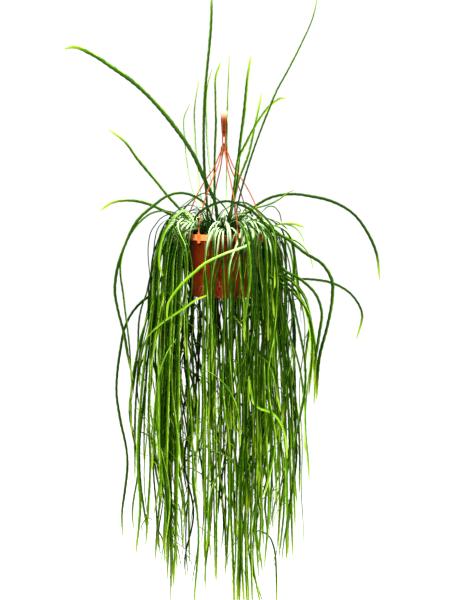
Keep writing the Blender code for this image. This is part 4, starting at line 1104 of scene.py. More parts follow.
def make_strands(material):
    """Round strands with a flat clip outside the collar, a bead where the two meet and a lip under the
    collar."""
    face = RIM_RADIUS + GAP + 0.0002
    # Each block: nearest and furthest from the axis, lowest and highest from the rim, width and roundness
    blocks = [(face, face + CLIP_THICK, -0.0170, 0.0040, CLIP_WIDTH, 6.0),
              (face + 0.0006, face + CLIP_THICK + 0.0005, -0.0010, 0.0050, CLIP_WIDTH * 0.62, 3.0),
              (0.0732, face + 0.0010, -0.0155, -0.0127, CLIP_WIDTH - 0.002, 6.0)]
    top = [(.0050, HUB_HEIGHT - .0002), (.0052, HUB_HEIGHT - .006), (.0085, .157)]
    for number, azimuth in enumerate(strand_azimuths()):
        out, across = outward(azimuth), sideways(azimuth)
        path = smooth_route(strand_route(azimuth, top, [(.0773, .008), (.0776, -.004)]))
        path[:, 2] += RIM_Z
        side, front = blade_frame(path, across, np.zeros(len(path)))
        reach = np.linspace(0.0, 1.0, len(path))
        radius = STRAND_RADIUS * np.interp(reach, [0.0, 0.04, 0.10, 0.93, 1.0], [1.5, 1.4, 1.0, 1.0, 1.35])
        strand = Sheaf()
        strand.add(sweep(path, side, front, rounded_ring(12, 2.0), radius, radius))
        for inner, outer, low, high, wide, power in blocks:
            middle = out * (inner + outer) / 2 + UP * (RIM_Z + (low + high) / 2)
            strand.add(rounded_block(middle, across, out, UP, (wide, outer - inner, high - low), power))
        name = "finished_strand_%d" % (number + 1)
        show(name, strand.mesh(name), material, ["hanger_strand_%d" % (number + 1)], 40.0)


NOTCH_RUN = 0.015
RING_STEP = 0.005
TWIG_RINGS = 9
SECTION = np.array([(1.0, 0.0), (0.12, 1.0), (-1.0, 0.0), (-0.12, -1.0)])
TWIG_SECTION = np.array([(1.0, 0.0), (0.0, 1.0), (-1.0, 0.0), (0.0, -1.0)])

# Share of the full width at marks along a stem: full to the tip, drawn out to a fine tip, or cut off.
TAPER_MARKS = [0.0, 0.05, 0.15, 0.35, 0.65, 0.90, 0.97, 1.0]
TAPERS = {"full": [0.54, 0.64, 0.82, 1.0, 1.0, 0.95, 0.74, 0.28],
          "drawn out": [0.58, 0.68, 0.86, 1.0, 0.95, 0.66, 0.46, 0.22],
          "cut": [0.46, 0.56, 0.78, 1.0, 1.0, 1.0, 0.95, 0.75]}

# Width, tone, paleness and pale run of the stems told apart one by one, in the order in which they are
# listed: width 1 is a full-grown stem, tone runs from deep to fresh green, paleness from green to grey-green,
# and the pale run is the length in metres over which the paleness fades.
KNOWN_LOOKS = [
    (.90, .28, .10, .12), (.86, .38, .10, .12), (.86, .36, .05, .12), (.66, .40, .15, .12),
    (.84, .26, .05, .12), (.66, .42, .40, .40), (.60, .46, .45, .40), (.90, .28, .15, .12),
    (1.00, .27, .10, .12), (.80, .30, .10, .12), (.90, .24, .05, .12), (.74, .42, .25, .12),
    (.55, .55, .20, .12), (.60, .66, .15, .12), (.86, .26, .10, .12), (.62, .30, .05, .12),
    (.98, .28, .10, .12), (.78, .42, .05, .12), (1.30, .28, .05, .12), (.90, .20, .04, .20),
    (.76, .84, .42, .26), (.62, .46, .50, .12), (.58, .40, .45, .12), (.62, .50, .60, .16),
    (.60, .42, .50, .14), (.66, .30, .30, .12), (.80, .74, .36, .14), (.60, .44, .70, .12),
    (.80, .46, .45, .12), (.80, .38, .25, .12), (.60, .56, .25, .12), (.64, .42, .45, .40),
    (.74, .42, .25, .20), (.75, .36, .15, .20), (.64, .42, .40, .30),
]

# Single branches among the hanging stems: clump, width, tone, and x, y and height above the rim, in whole
# millimetres, of the points that each one passes.
BRANCHES = [
    (RIGHT_FRONT, 0.65, 0.9, [51, -92, -282,  54, -96, -306,  57, -100, -325,  68, -104, -336,
        80, -106, -340,  92, -106, -344,  109, -104, -363,  120, -100, -392,  124, -98, -437]),
    (FRONT_RIGHT, 0.6, 0.25, [60, -20, -606,  67, -22, -597,  76, -22, -599,  90, -22, -608,  101, -21, -634,
        105, -20, -671,  106, -20, -709,  106, -20, -746]),
    (FRONT_LEFT, 0.62, 0.8, [-152, -85, -201,  -135, -92, -182,  -112, -98, -163,  -82, -104, -143,
        -64, -108, -130,  -49, -110, -121,  -33, -112, -115]),
    (RIGHT, 0.35, 0.3, [76, 30, 41,  88, 30, 52,  98, 30, 53,  110, 30, 42,  116, 30, 20]),
    (FRONT_LEFT, 0.7, 0.1, [-74, -80, -119,  -60, -85, -132,  -49, -88, -143,  -37, -90, -161,
        -27, -90, -184,  -21, -88, -224,  -23, -86, -283]),
    (RIGHT, 0.8, 0.34, [116, 10, -79,  134, 10, -92,  147, 10, -105,  158, 10, -120,  166, 10, -137,
        170, 10, -155,  173, 10, -179,  167, 10, -225,  161, 10, -280]),
    (FRONT_RIGHT, 0.8, 0.3, [34, -10, -537,  35, -10, -619,  32, -10, -681,  31, -10, -749]),
]

# Hanging stems whose lower ends can be told apart: crown, width, tone, and x, y and height above the rim, in
# whole millimetres, of the points that each one passes below the rim.
HANGING_ENDS = [
    (9, 0.7, 0.45, [-143, -30, -131,  -169, -30, -221,  -185, -30, -311,  -184, -30, -401]),
    (9, 0.75, 0.4, [-149, 20, -135,  -167, 20, -226,  -178, 20, -338,  -181, 20, -498]),
    (10, 0.95, 0.52, [-140, -50, -139,  -154, -50, -228,  -163, -50, -308,  -171, -50, -468,  -167, -50, -529,
        -176, -50, -640]),
    (8, 0.65, 0.42, [-140, 50, -138,  -153, 50, -240,  -161, 50, -343,  -164, 50, -466]),
    (9, 0.9, 0.48, [-131, -30, -131,  -143, -30, -231,  -150, -30, -347,  -147, -30, -462,  -152, -30, -553,
        -157, -30, -626]),
    (10, 0.85, 0.62, [-122, -60, -128,  -130, -60, -287,  -131, -60, -376,  -123, -60, -455,
        -139, -60, -555]),
    (8, 0.9, 0.42, [-114, 50, -138,  -120, 46, -342,  -125, 43, -502,  -135, 42, -589,  -141, 40, -670]),
    (10, 0.9, 0.66, [-102, -80, -127,  -110, -76, -324,  -115, -73, -508,  -118, -70, -648]),
    (8, 0.9, 0.4, [-98, 70, -140,  -107, 66, -386,  -111, 62, -564,  -116, 60, -700]),
    (9, 0.45, 0.3, [-90, -80, -146,  -106, -38, -459,  -108, 0, -745]),
    (10, 0.9, 0.58, [-86, -85, -126,  -91, -65, -386,  -94, -53, -540,  -101, -40, -705]),
    (7, 0.9, 0.6, [-78, 90, -203,  -74, 73, -408,  -73, 62, -535,  -71, 50, -679]),
    (10, 0.75, 0.5, [-74, -90, -126,  -65, -62, -366,  -60, -48, -485,  -51, -36, -595,  -60, -20, -740]),
    (0, 0.7, 0.55, [-39, -100, -144,  -37, -83, -383,  -37, -72, -536,  -37, -60, -709]),
    (7, 0.7, 0.62, [-33, 95, -204,  -31, 71, -449,  -33, 58, -592,  -27, 50, -670]),
    (6, 0.85, 0.5, [-21, 100, -204,  -17, 74, -429,  -15, 58, -563,  -16, 40, -718]),
    (6, 0.8, 0.44, [4, 100, -204,  8, 66, -448,  10, 46, -590,  2, 30, -704]),
    (0, 0.9, 0.4, [16, -105, -144,  14, -80, -403,  13, -68, -537,  19, -55, -682,  20, -50, -732]),
    (6, 0.85, 0.52, [29, 100, -204,  33, 64, -448,  31, 44, -590,  27, 20, -750]),
    (1, 0.85, 0.36, [37, -100, -144,  37, -73, -404,  34, -52, -609,  40, -40, -734]),
    (6, 0.8, 0.5, [49, 100, -204,  47, 69, -449,  45, 48, -611,  50, 30, -753]),
    (1, 0.85, 0.44, [54, -100, -144,  57, -66, -425,  54, -44, -611,  57, -30, -737]),
    (5, 0.6, 0.4, [49, 90, -203,  53, 54, -488,  57, 28, -688,  78, 20, -750]),
    (5, 0.85, 0.66, [70, 85, -203,  68, 63, -448,  66, 48, -620,  71, 40, -706]),
    (2, 0.85, 0.6, [74, -85, -146,  83, -67, -405,  89, -58, -539,  81, -50, -664]),
    (4, 0.8, 0.46, [93, 50, -158,  114, 45, -404,  123, 42, -560,  113, 40, -664]),
    (2, 0.95, 0.5, [100, -60, -138,  119, -56, -327,  125, -52, -512,  128, -50, -638]),
    (3, 0.9, 0.44, [107, 20, -145,  129, 20, -338,  136, 20, -527,  140, 20, -658]),
    (3, 0.85, 0.4, [109, -20, -142,  134, -20, -332,  140, -20, -490,  143, -20, -590]),
    (3, 0.8, 0.38, [114, 10, -155,  145, 10, -337,  152, 10, -410,  153, 10, -525]),
    (3, 0.75, 0.42, [118, -10, -153,  152, -10, -273,  162, -10, -350,  163, -10, -441]),
    (4, 0.75, 0.4, [90, 60, -159,  106, 60, -344,  111, 60, -447,  116, 60, -578]),
    (2, 0.85, 0.34, [86, -80, -78,  101, -74, -87,  118, -69, -98,  140, -63, -118,  162, -57, -146,
        175, -51, -188,  182, -46, -249,  179, -40, -339]),
    (2, 0.75, 0.32, [90, -55, -73,  119, -50, -83,  140, -45, -100,  158, -40, -124,  169, -35, -153,
        174, -30, -190,  177, -25, -221,  179, -20, -276]),
    (10, 0.75, 0.45, [-100, -60, -130,  -114, -30, -391,  -113, -30, -533,  -112, -30, -625,
        -114, -30, -696]),
    (9, 0.7, 0.5, [-96, -40, -130,  -106, -30, -391,  -108, -30, -533,  -104, -30, -625,  -102, -30, -702]),
    (0, 0.62, 0.5, [-26, -104, -144,  -22, -60, -391,  -20, -40, -533,  -18, -30, -635,  -18, -30, -698]),
    (0, 0.7, 0.42, [10, -106, -144,  14, -60, -432,  14, -40, -574,  18, -30, -655,  22, -30, -749]),
    (1, 0.7, 0.48, [46, -102, -144,  44, -60, -432,  43, -40, -574,  44, -30, -676,  47, -30, -749]),
    (1, 0.66, 0.4, [62, -94, -144,  64, -60, -432,  62, -40, -574,  58, -30, -655,  74, -30, -749]),
    (2, 0.9, 0.5, [64, -85, -146,  70, -67, -405,  74, -55, -539,  70, -48, -655]),
    (4, 0.85, 0.42, [88, 60, -160,  80, 55, -404,  77, 50, -540,  81, 46, -640]),
    (4, 0.8, 0.5, [84, 70, -160,  70, 65, -404,  64, 60, -540,  68, 56, -610]),
    (9, 0.85, 0.48, [-122, -10, -135,  -112, -10, -400,  -108, -10, -560,  -106, -10, -715]),
    (8, 0.85, 0.45, [-102, 45, -138,  -98, 40, -400,  -100, 34, -560,  -96, 32, -690]),
    (6, 0.8, 0.4, [-12, 92, -204,  -6, 80, -340,  -8, 70, -500]),
    (7, 0.8, 0.46, [-24, 94, -204,  -24, 80, -340,  -20, 74, -470]),
    (7, 0.8, 0.44, [-66, 90, -204,  -62, 80, -340,  -66, 74, -450]),
    (3, 0.8, 0.5, [104, 0, -150,  104, 0, -330,  103, 0, -450,  107, 0, -550]),
    (4, 0.8, 0.42, [97, 45, -158,  95, 45, -330,  98, 45, -480,  93, 45, -600]),
]

# Stems that hang beside a known one in front of the pot: its number, how far to the right and away from the
# viewer, width, tone, paleness and length in metres.
SISTERS = [
    (21, .006, .002, .52, .34, .55, .44), (21, .011, .004, .46, .50, .70, .36),
    (22, .006, .002, .50, .28, .45, .50), (22, -.004, -.003, .44, .48, .60, .30),
    (23, -.008, .004, .48, .24, .50, .46), (23, .006, .002, .54, .40, .75, .55),
    (24, .008, .003, .58, .32, .55, .60), (24, .014, .006, .50, .46, .70, .50),
    (25, -.002, -.026, .56, .40, .60, .40), (25, .006, -.026, .60, .30, .50, .52),
    (25, .012, .002, .58, .44, .60, .48), (25, .018, .004, .54, .34, .50, .56),
    (27, -.006, .004, .50, .30, .50, .30), (27, .007, .002, .46, .26, .40, .42),
]
KNOWN_HOSTS = range(21, 28)     # the stems told apart one by one that carry side growth
CUT_BELOW = -0.73               # a stem that ends below this height, from the rim, is cut off plainly

# Tones that the stems in front of the pot don't pass
LEADING_TONE_MOST = 0.42
FINE_TONE_MOST = 0.34

# Fine stems: the share of the usual distance that they keep, the distance to keep from them, how many
# more rise from three crowns at the right, and how deep they, and then forks, reach in the middle
FINE_SHARE = 0.50
FINE_APART = STEM_APART * 0.8
FINE_AT_RIGHT = 18
FINE_DEEPEST = 0.700
FORK_DEEPEST = 0.68

# The space that the leading stems take up: half its depth, its middle and half its width from side to
# side, and its lowest place below the rim
SPACE_DEPTH = 0.143
SPACE_MIDDLE = -0.009
SPACE_WIDTH = 0.163
SPACE_LOWEST = -0.745

# Twigs and hair roots stay within this distance before and behind the axis, and above this height
DEPTH_MOST = 0.145
LOWEST_TWIG = -0.985
HAIR_RADIUS = 0.0004
HAIR_BELOW = -0.60      # a stem carries hair roots below this height, from the seat of the hook


def sister_route(rng, route, right, back, length):
    """A route beside a given one: moved sideways by a share that grows over the crown, with a slow sine."""
    reach = distance_along(route)
    grown = climb(reach, 0.0, 0.06)
    moved = route + np.array([right, back, 0.0]) * grown[:, None]
    moved[:, 0] += 0.0035 * grown * np.sin(reach * rng.uniform(14.0, 26.0) + rng.uniform(0.0, 6.3))
    return moved[reach < length]


def over_rim(crown, passed):
    """A fine route from a crown in a bow over the rim to the first of the given points, then through them."""
    azimuth, ring, _ = crown_places()[crown]
    root = outward(azimuth) * ring
    way = (passed[0] - root) * FLAT
    bow = [root + way * share + UP * height for share, height in ((.30, .026), (.60, .018), (.88, -.03))]
    return rooted(crown, [*bow, *passed])


def stem_rings(route, rng, width, thick, depth, tone, paleness, step=RING_STEP, fade=0.12, facing=False,
               lift=0.0, ends="full"):
    """One stem: the section carried along its route in even steps. Its half width is the full one times a
    taper, with notches cut in one margin at every third ring and in the other margin one ring later. It
    lies flat over the crown and turns slowly about its own line further on. Painted shade deepens its tone
    towards the middle of the plant, where little light falls, and fades its paleness there; painted light
    lifts its tone a little below, and on the right for a stem with a lift, whose tone also rises from root
    to tip."""
    path, reach = even_points(route, step)
    path = path + UP * RIM_Z
    count = len(path)
    share = reach / reach[-1]
    lead = (path[-1] - path[0]) * FLAT
    level = unit(np.array([-lead[1], lead[0], 0.0]) + np.array([1e-6, 0.0, 0.0]))
    level = unit(level * (1.0 if level[0] > 0.0 else -1.0) + np.array([0.8, 0.0, 0.0]))
    hung = climb(reach, 0.06, 0.22)
    turn = rng.normal(0.0, 0.30) + rng.uniform(-0.8, 0.8) * eased(hung)
    turn = turn + 0.3 * hung * np.sin(reach * rng.uniform(6.0, 14.0) + rng.uniform(0.0, 6.3))
    if facing:
        level, turn = front_level(path, level), 0.35 * turn
    side, face = blade_frame(path, level, turn)
    taper = np.interp(share, TAPER_MARKS, TAPERS[ends])
    beat = (np.arange(count)[:, None] + np.array([0, 0, 1, 1])[None, :] + int(rng.integers(3))) % 3
    notch = np.where(beat == 0, 1.0 - depth, np.where(beat == 1, 0.97, 1.0))
    sway = 1.0 + 0.06 * np.sin(reach * 47.0 + rng.uniform(0.0, 6.3))
    half = 0.5 * width * (taper * sway)[:, None] * np.where(np.abs(SECTION[None, :, 0]) > 0.9, notch, 1.0)
    rings = sweep(path, side, face, SECTION, half, 0.5 * thick * np.maximum(taper, 0.3)[:, None])
    growth, blade = np.zeros((2, count, len(SECTION), 3))
    light = shade(path)
    # Painted light: the tone is lifted on the right and towards the bottom, where the lamps light the stems
    # too little
    right = 0.08 * climb(path[:, 0], 0.02, 0.05) if lift else 0.0
    low = 0.07 * climb(RIM_Z - path[:, 2], 0.28, 0.20)
    lit = tone * (1.0 + lift * (share - 0.5)) * light + right + low
    growth[..., 0] = np.minimum(lit, max(tone, 0.66))[:, None]
    young = 1.0 - np.minimum((reach[-1] - reach) / 0.30, 1.0)
    growth[..., 1] = (young * (1.0 if reach[-1] > 0.12 else 0.8))[:, None]
    faded = eased(1.0 - climb(reach, 0.03, fade))
    growth[..., 2] = np.clip(paleness * light ** 1.2 * faded, 0.0, 1.0)[:, None]
    # Which margin of each stem takes the painted light and highlight is drawn at random
    blade[..., 0] = SECTION[None, :, 0] * (1.0 if rng.random() < 0.6 else -1.0)
    blade[..., 1] = reach[:, None] + rng.uniform(0.0, NOTCH_RUN)
    return rings, growth, blade


def shade(path):
    """Share of light at each point of a path: 1 - max(0.56 inside * below, 0.94 core). Inside rises from 0 at
    a radius that narrows downwards to 1 at 40 mm within it. Below rises from 0 at 10 mm above the rim to 1
    at 150 mm under it and falls to 0.4 at 600 mm. Core rises from 0 at the skin of a dome over the pot,
    85 mm wide to each side and 38 mm high, to 1 at four fifths of that."""
    radius, depth = np.hypot(path[:, 0], path[:, 1]), RIM_Z - path[:, 2]
    inside = climb(0.112 - 0.045 * climb(depth, 0.0, 0.7) - radius, 0.0, 0.040)
    below = climb(depth, -0.010, 0.160) * (1.0 - 0.6 * climb(depth, 0.30, 0.30))
    dome = np.hypot(radius / 0.089, np.maximum(-depth, 0.0) / 0.040)
    core = climb(0.95 - dome, 0.0, 0.18) * (1.0 - climb(depth, 0.0, 0.02))
    return 1.0 - np.maximum(0.56 * inside * below, 0.94 * core)


def crown_rings(rng, azimuth, ring, radius):
    """The short woody stock that a clump rises from: rings of uneven radius, sunk in the soil."""
    heights = np.array([-CROWN_DEPTH, -0.004, 0.001, 0.004, 0.006])
    widths = np.array([0.8, 1.0, 0.98, 0.86, 0.55])
    rings = revolve([(radius * wide, SOIL_TOP + height) for wide, height in zip(widths, heights)], 14,
                    tuple((outward(azimuth) * ring)[:2]))
    middle = rings.mean(axis=1, keepdims=True)
    return middle + (rings - middle) * (1.0 + rng.normal(0.0, 0.06, (len(heights), 14, 1)))


def twig_path(rng, start, along, length):
    """A curled twig: it leaves its stem at a slant, bows down and winds: place = start + u L d + u^2 L b
    plus a sideways sine that grows with u."""
    u = np.linspace(0.0, 1.0, TWIG_RINGS)[:, None]
    azimuth = rng.uniform(0.0, 2.0 * math.pi)
    level = np.array([math.cos(azimuth), math.sin(azimuth), 0.0])
    leave = unit(level * rng.uniform(0.35, 1.0) + along * rng.uniform(0.3, 1.0))
    bend = level * rng.uniform(-0.7, 0.3) + UP * rng.uniform(-0.6, 0.35)
    winding = np.cross(leave, UP) * np.sin(u * rng.uniform(2.5, 8.0)) * u * rng.uniform(0.03, 0.20)
    return start + length * (leave * u + bend * u ** 2 + winding)


def hair_path(rng, start):
    """A hanging root, thin as a hair: place = start + (a u^2, b u^2, -L u) plus a small sideways sine."""
    u = np.linspace(0.0, 1.0, TWIG_RINGS)[:, None]
    length = min(rng.uniform(0.03, 0.16), start[2] - LOWEST_TWIG)
    side = np.array([rng.normal(0.0, 0.3), rng.normal(0.0, 0.1), 0.0]) * length
    wave = np.sin(u * rng.uniform(3.0, 9.0)) * np.array([rng.normal(0.0, 0.06), rng.normal(0.0, 0.06), 0.0])
    return start + side * u ** 2 + length * wave - UP * length * u


def add_twig(sheaf, rng, path, radius, tone):
    """One twig: a four-cornered section carried along its path, narrowed evenly to 0.35 of its radius."""
    side, face = blade_frame(path, unit(np.array([rng.normal(), rng.normal(), 0.01])), np.zeros(len(path)))
    taper = np.linspace(1.0, 0.35, len(path))[:, None] * radius
    growth = np.zeros((len(path), 4, 3))
    growth[..., 0] = tone
    growth[..., 1] = np.linspace(0.55, 1.0, len(path))[:, None]
    blade = np.zeros_like(growth)
    blade[..., 0] = TWIG_SECTION[None, :, 0] * 0.4
    blade[..., 1] = np.linspace(0.0, 0.05, len(path))[:, None]
    blade[..., 2] = 1.0
    sheaf.add(sweep(path, side, face, TWIG_SECTION, taper, taper * 0.8), growth, blade)


def bow(rng, crown_azimuth, crown_ring):
    """A short stem that bows over the crown: a hanging line of small bend, cut off early."""
    azimuth = crown_azimuth + rng.normal(0.0, 85.0)
    root = outward(crown_azimuth) * crown_ring + outward(azimuth) * rng.uniform(0.0, ROOT_SPREAD)
    s, out, up = hang_shape(math.radians(rng.uniform(28.0, 76.0)), rng.uniform(1.1, 2.0))
    size = rng.uniform(0.014, 0.032)
    last = int(np.searchsorted(s, rng.uniform(2.0, 4.2)))
    s, out, up = s[:last], out[:last] * size, up[:last] * size
    bend = np.sin(s * rng.uniform(0.5, 1.4) + rng.uniform(0.0, 6.3)) * size * 0.20 * np.clip(s, 0, 1)
    route = root + outward(azimuth) * out[:, None] + sideways(azimuth) * bend[:, None]
    route[:, 2] = ROOT_Z + up
    return route[::4]


def deepest_at(x, middle):
    """How far below the rim thin growth reaches: a given depth in the middle, less beside it."""
    return middle - 2.4 * max(abs(x + 0.01) - 0.06, 0.0)


def fine_route(rng, azimuth, ring):
    """One try at a fine stem: a random hanging stem drawn out, cut off at its depth and made to wander, or
    nothing where it would close a gap that the photograph shows."""
    fine = hanging_stem(rng, azimuth, ring, rng.random() < 0.12)
    if len(fine) < ROUTE_LEAST:
        return None
    longer = rng.uniform(1.0, 1.15)
    fine[:, 2] *= np.where(fine[:, 2] < 0.0, longer, 1.0)
    fine = fine[fine[:, 2] > -deepest_at(fine[-1, 0], FINE_DEEPEST)]
    hung = np.maximum(-0.10 - fine[:, 2], 0.0)
    fine[:, 0] += hung * rng.normal(0.0, 0.03) + wander(rng, hung)
    fine[:, 1] += 0.5 * wander(rng, hung)
    lower_gap = np.flatnonzero((np.abs(fine[:, 0] + 0.045) < 0.018) & (fine[:, 2] < -0.43))
    if len(lower_gap) > 4 and rng.random() < 0.75:
        fine = fine[:lower_gap[0]]
    under_pot = (np.abs(fine[:, 0] - 0.016) < 0.014) & (np.abs(fine[:, 2] + 0.15) < 0.03)
    if under_pot.any() and rng.random() < 0.90:
        return None
    if len(fine) < ROUTE_LEAST or outside(fine) or hides_pot(fine):
        return None
    shoulder = (fine[:, 2] < -0.02) & (fine[:, 2] > -0.30)
    if (shoulder & ((fine[:, 0] > 0.108) | (fine[:, 0] < -0.128))).any():
        return None
    return None if before_pot(fine) and rng.random() < 0.85 else fine


def fine_stems(rng, room, count):
    """Thinner hanging stems grown by the leading stems' rule, each with less room to itself. The last few
    rise from three crowns at the right."""
    found = []
    for number in range(count + FINE_AT_RIGHT):
        crown = number % THICK_CROWNS if number < count else 2 + number % 3
        azimuth, ring, _ = crown_places()[crown]
        for attempt in range(FINE_TRIES):
            fine = fine_route(rng, azimuth, ring)
            if fine is None:
                continue
            points, along = even_points(bend_points(fine))
            free = clear_of_pot(points, outward(azimuth) * ring)
            if free and room.free(points, along, crown, FINE_SHARE):
                room.take(points, along, crown, FINE_APART)
                found.append((crown, fine))
                break
    return found


def before_pot(route):
    """True for a route that passes in front of the pot."""
    near = (route[:, 1] < -0.05) & (np.abs(route[:, 0]) < 0.085)
    return bool((near & (np.abs(route[:, 2] + 0.06) < 0.07)).any())


def wander(rng, hung):
    """Sideways offset of a hanging stem: straight runs of 50 to 110 mm, each at its own small slant."""
    marks = np.concatenate([[0.0], np.cumsum(rng.uniform(0.05, 0.11, 16))])
    slants = np.concatenate([[0.0], rng.normal(0.0, 0.10, 16)])
    return np.interp(hung, marks, np.cumsum(slants * np.diff(marks, prepend=0.0)))


def outside(route):
    """True for a route that leaves the space that the leading stems take up."""
    aside = np.abs(route[:, 0] - SPACE_MIDDLE) > SPACE_WIDTH
    return bool(np.abs(route[:, 1]).max() > SPACE_DEPTH or aside.any() or route[:, 2].min() < SPACE_LOWEST)


def fork_route(rng, start):
    """A side branch: it leaves its stem at a slant and comes to hang: place = start + L (k (1 - e^(-3u)) / 3
    sideways - u^1.2 down) plus a slow sideways sine."""
    u = np.linspace(0.0, 1.0, 16)[:, None]
    length = rng.uniform(0.08, 0.30)
    azimuth = rng.uniform(0.0, 2.0 * math.pi)
    level = np.array([math.cos(azimuth), 0.5 * math.sin(azimuth), 0.0])
    wave = level * 0.03 * np.sin(u * rng.uniform(3.0, 8.0)) * u
    slant = level * rng.uniform(0.4, 2.2) * (1.0 - np.exp(-3.0 * u)) / 3.0
    return start + length * (slant + wave - UP * u ** 1.2)


def curl_room(route):
    """True for the points of a route in the middle of the plant's front, where short curled twigs grow."""
    return (np.abs(route[:, 0] + 0.025) < 0.055) & (route[:, 1] < 0.05) & (np.abs(route[:, 2] + 0.41) < 0.11)


class Growth:
    """The plant while it is put together: a sheaf of tubes for each crown, and as hosts the stems that may
    carry side growth, each as crown, route and tone. The kinds of growth are added in the order below."""

    def __init__(self, settings):
        self.settings = settings
        self.stems, self.room = grow()
        self.rng = np.random.default_rng(SEED + 11)
        self.crowns = crown_places()
        self.sheaves = [Sheaf() for _ in self.crowns]
        self.hosts = []

    def any_host(self, hosts):
        """One of the given hosts, drawn at random."""
        return hosts[int(self.rng.integers(len(hosts)))]

    def stem(self, crown, route, wide, thick, depth, tone, paleness, **look):
        """Add a stem whose width, thickness and notches are given shares of the full ones."""
        full = self.settings
        self.sheaves[crown].add(*stem_rings(route, self.rng, full.width * wide, full.thick * thick,
                                            full.notch_depth * depth, tone, paleness, **look))

    def leading(self):
        """The stems that the part has too."""
        rng = self.rng
        for number, (crown, route) in enumerate(self.stems):
            known = number < len(KNOWN_LOOKS)
            if known:
                wide, tone, paleness, fade = KNOWN_LOOKS[number]
            else:
                wide, tone = rng.uniform(0.58, 0.88), 0.03 + 0.72 * rng.beta(0.8, 1.4)
                paleness, fade = 0.90 * rng.beta(0.5, 0.6), rng.uniform(0.05, 0.12)
                if before_pot(route):
                    tone = min(tone, LEADING_TONE_MOST)
            self.stem(crown, route, wide, 0.6 + 0.4 * wide, 1.0, tone, paleness, fade=fade, facing=known,
                      lift=1.1 if crown >= UPRIGHT else 0.0 if known else 1.0,
                      ends="drawn out" if known and wide < 0.70 else "full")
            if not known or number in KNOWN_HOSTS:
                self.hosts.append((crown, route, tone))

    def set_by_hand(self):
        """The single branches, the stems beside known ones and those with known lower ends."""
        for crown, wide, tone, row in BRANCHES:
            self.stem(crown, smooth_route(points_of(row)), wide, wide, 0.6, tone, 0.0, facing=True)
        for known, right, back, wide, tone, paleness, length in SISTERS:
            crown, route = self.stems[known]
            self.stem(crown, sister_route(self.rng, route, right, back, length), wide, 0.8, 1.0, tone,
                      0.6 * paleness, fade=0.10, facing=True)
        for crown, wide, tone, row in HANGING_ENDS:
            points = points_of(row)
            route = over_rim(crown, points)
            self.hosts.append((crown, route, tone))
            self.stem(crown, route, 0.95 * wide, 0.6 + 0.4 * wide, 1.0, 0.78 * tone,
                      self.rng.uniform(0.0, 0.9), fade=0.10, facing=True, lift=1.0,
                      ends="cut" if points[-1, 2] < CUT_BELOW else "full")

    def fine(self):
        """Thinner stems that fill the plant between the leading ones."""
        rng = self.rng
        for crown, route in fine_stems(rng, self.room, self.settings.fine_stems):
            tone = 0.02 + 0.78 * rng.beta(0.7, 1.2)
            if before_pot(route):
                tone = min(tone, FINE_TONE_MOST)
            self.stem(crown, route, rng.uniform(0.55, 0.85), 0.75, 0.7, tone,
                      min(max(3.0 * rng.random() - 1.4, 0.0), 0.95), step=0.008, fade=0.08, lift=1.0)
            self.hosts.append((crown, route, tone))

    def forks(self):
        """Side branches that leave a host between 130 and 560 mm below the rim."""
        rng = self.rng
        for _ in range(self.settings.forks):
            crown, route, tone = self.any_host(self.hosts)
            low = np.flatnonzero((route[:, 2] < -0.13) & (route[:, 2] > -0.56))
            if len(low) < 3:
                continue
            fork = fork_route(rng, route[low[int(rng.integers(len(low)))]])
            deep = fork[-1, 2] <= -deepest_at(fork[-1, 0], FORK_DEEPEST)
            if not outside(fork) and not deep and clear_of_pot(fork, np.zeros(3)):
                tone = min(0.8, tone + rng.uniform(-0.05, 0.25))
                self.stem(crown, fork, rng.uniform(0.30, 0.65), 0.6, 0.6, tone, 0.0, facing=True)

    def arcs(self):
        """Short stems that bow over each thick crown in turn."""
        rng = self.rng
        for number in range(self.settings.crown_arcs):
            crown = number % THICK_CROWNS
            azimuth, ring, _ = self.crowns[crown]
            for attempt in range(ARC_TRIES):
                route = bow(rng, azimuth, ring)
                if len(route) > 4 and clear_of_pot(route, outward(azimuth) * ring):
                    self.stem(crown, route, rng.uniform(0.50, 0.80), 0.7, 0.6, rng.uniform(0.05, 0.7),
                              1.3 * rng.beta(0.7, 0.5), facing=True, ends="drawn out")
                    break

    def twigs(self):
        """Twigs anywhere on the hosts below the rim, then the shorter and paler curls in the middle."""
        rng, twigs = self.rng, self.settings.twigs
        middle = [host for host in self.hosts if curl_room(host[1]).any()]
        for number in range(twigs + self.settings.curls):
            curl = number >= twigs
            crown, route, tone = self.any_host(middle if curl else self.hosts)
            low = np.flatnonzero(curl_room(route) if curl else route[:, 2] < -0.06)
            if len(low) < 3:
                continue
            at = low[min(len(low) - 2, int(len(low) * (rng.random() if curl else rng.beta(2.0, 1.6))))]
            along = unit(route[min(at + 1, len(route) - 1)] - route[at - 1])
            path = twig_path(rng, route[at] + UP * RIM_Z, along, rng.uniform(0.020, 0.050 if curl else 0.085))
            ends = np.hypot(path[:, 0], path[:, 1])
            if (np.abs(path[:, 1]).max() > DEPTH_MOST or path[:, 2].min() < LOWEST_TWIG
                    or ends[-1] > ends[0] + 0.006):
                continue
            if curl:
                radius, tone = rng.uniform(0.0006, 0.0011), rng.uniform(0.45, 1.0)
            else:
                radius, tone = rng.uniform(0.0008, 0.0017), min(1.0, tone + rng.uniform(0.0, 0.5))
            add_twig(self.sheaves[crown], rng, path, radius, tone)

    def hairs(self):
        """Hair-thin roots on the last fifth of hosts that end low."""
        rng = self.rng
        for _ in range(self.settings.hairs):
            crown, route, _ = self.any_host(self.hosts)
            start = route[-1 - int(rng.integers(len(route) // 5))] + UP * RIM_Z
            path = hair_path(rng, start) if start[2] < HAIR_BELOW else None
            if path is not None and np.abs(path[:, 1]).max() < DEPTH_MOST:
                add_twig(self.sheaves[crown], rng, path, HAIR_RADIUS, rng.uniform(0.3, 0.9))


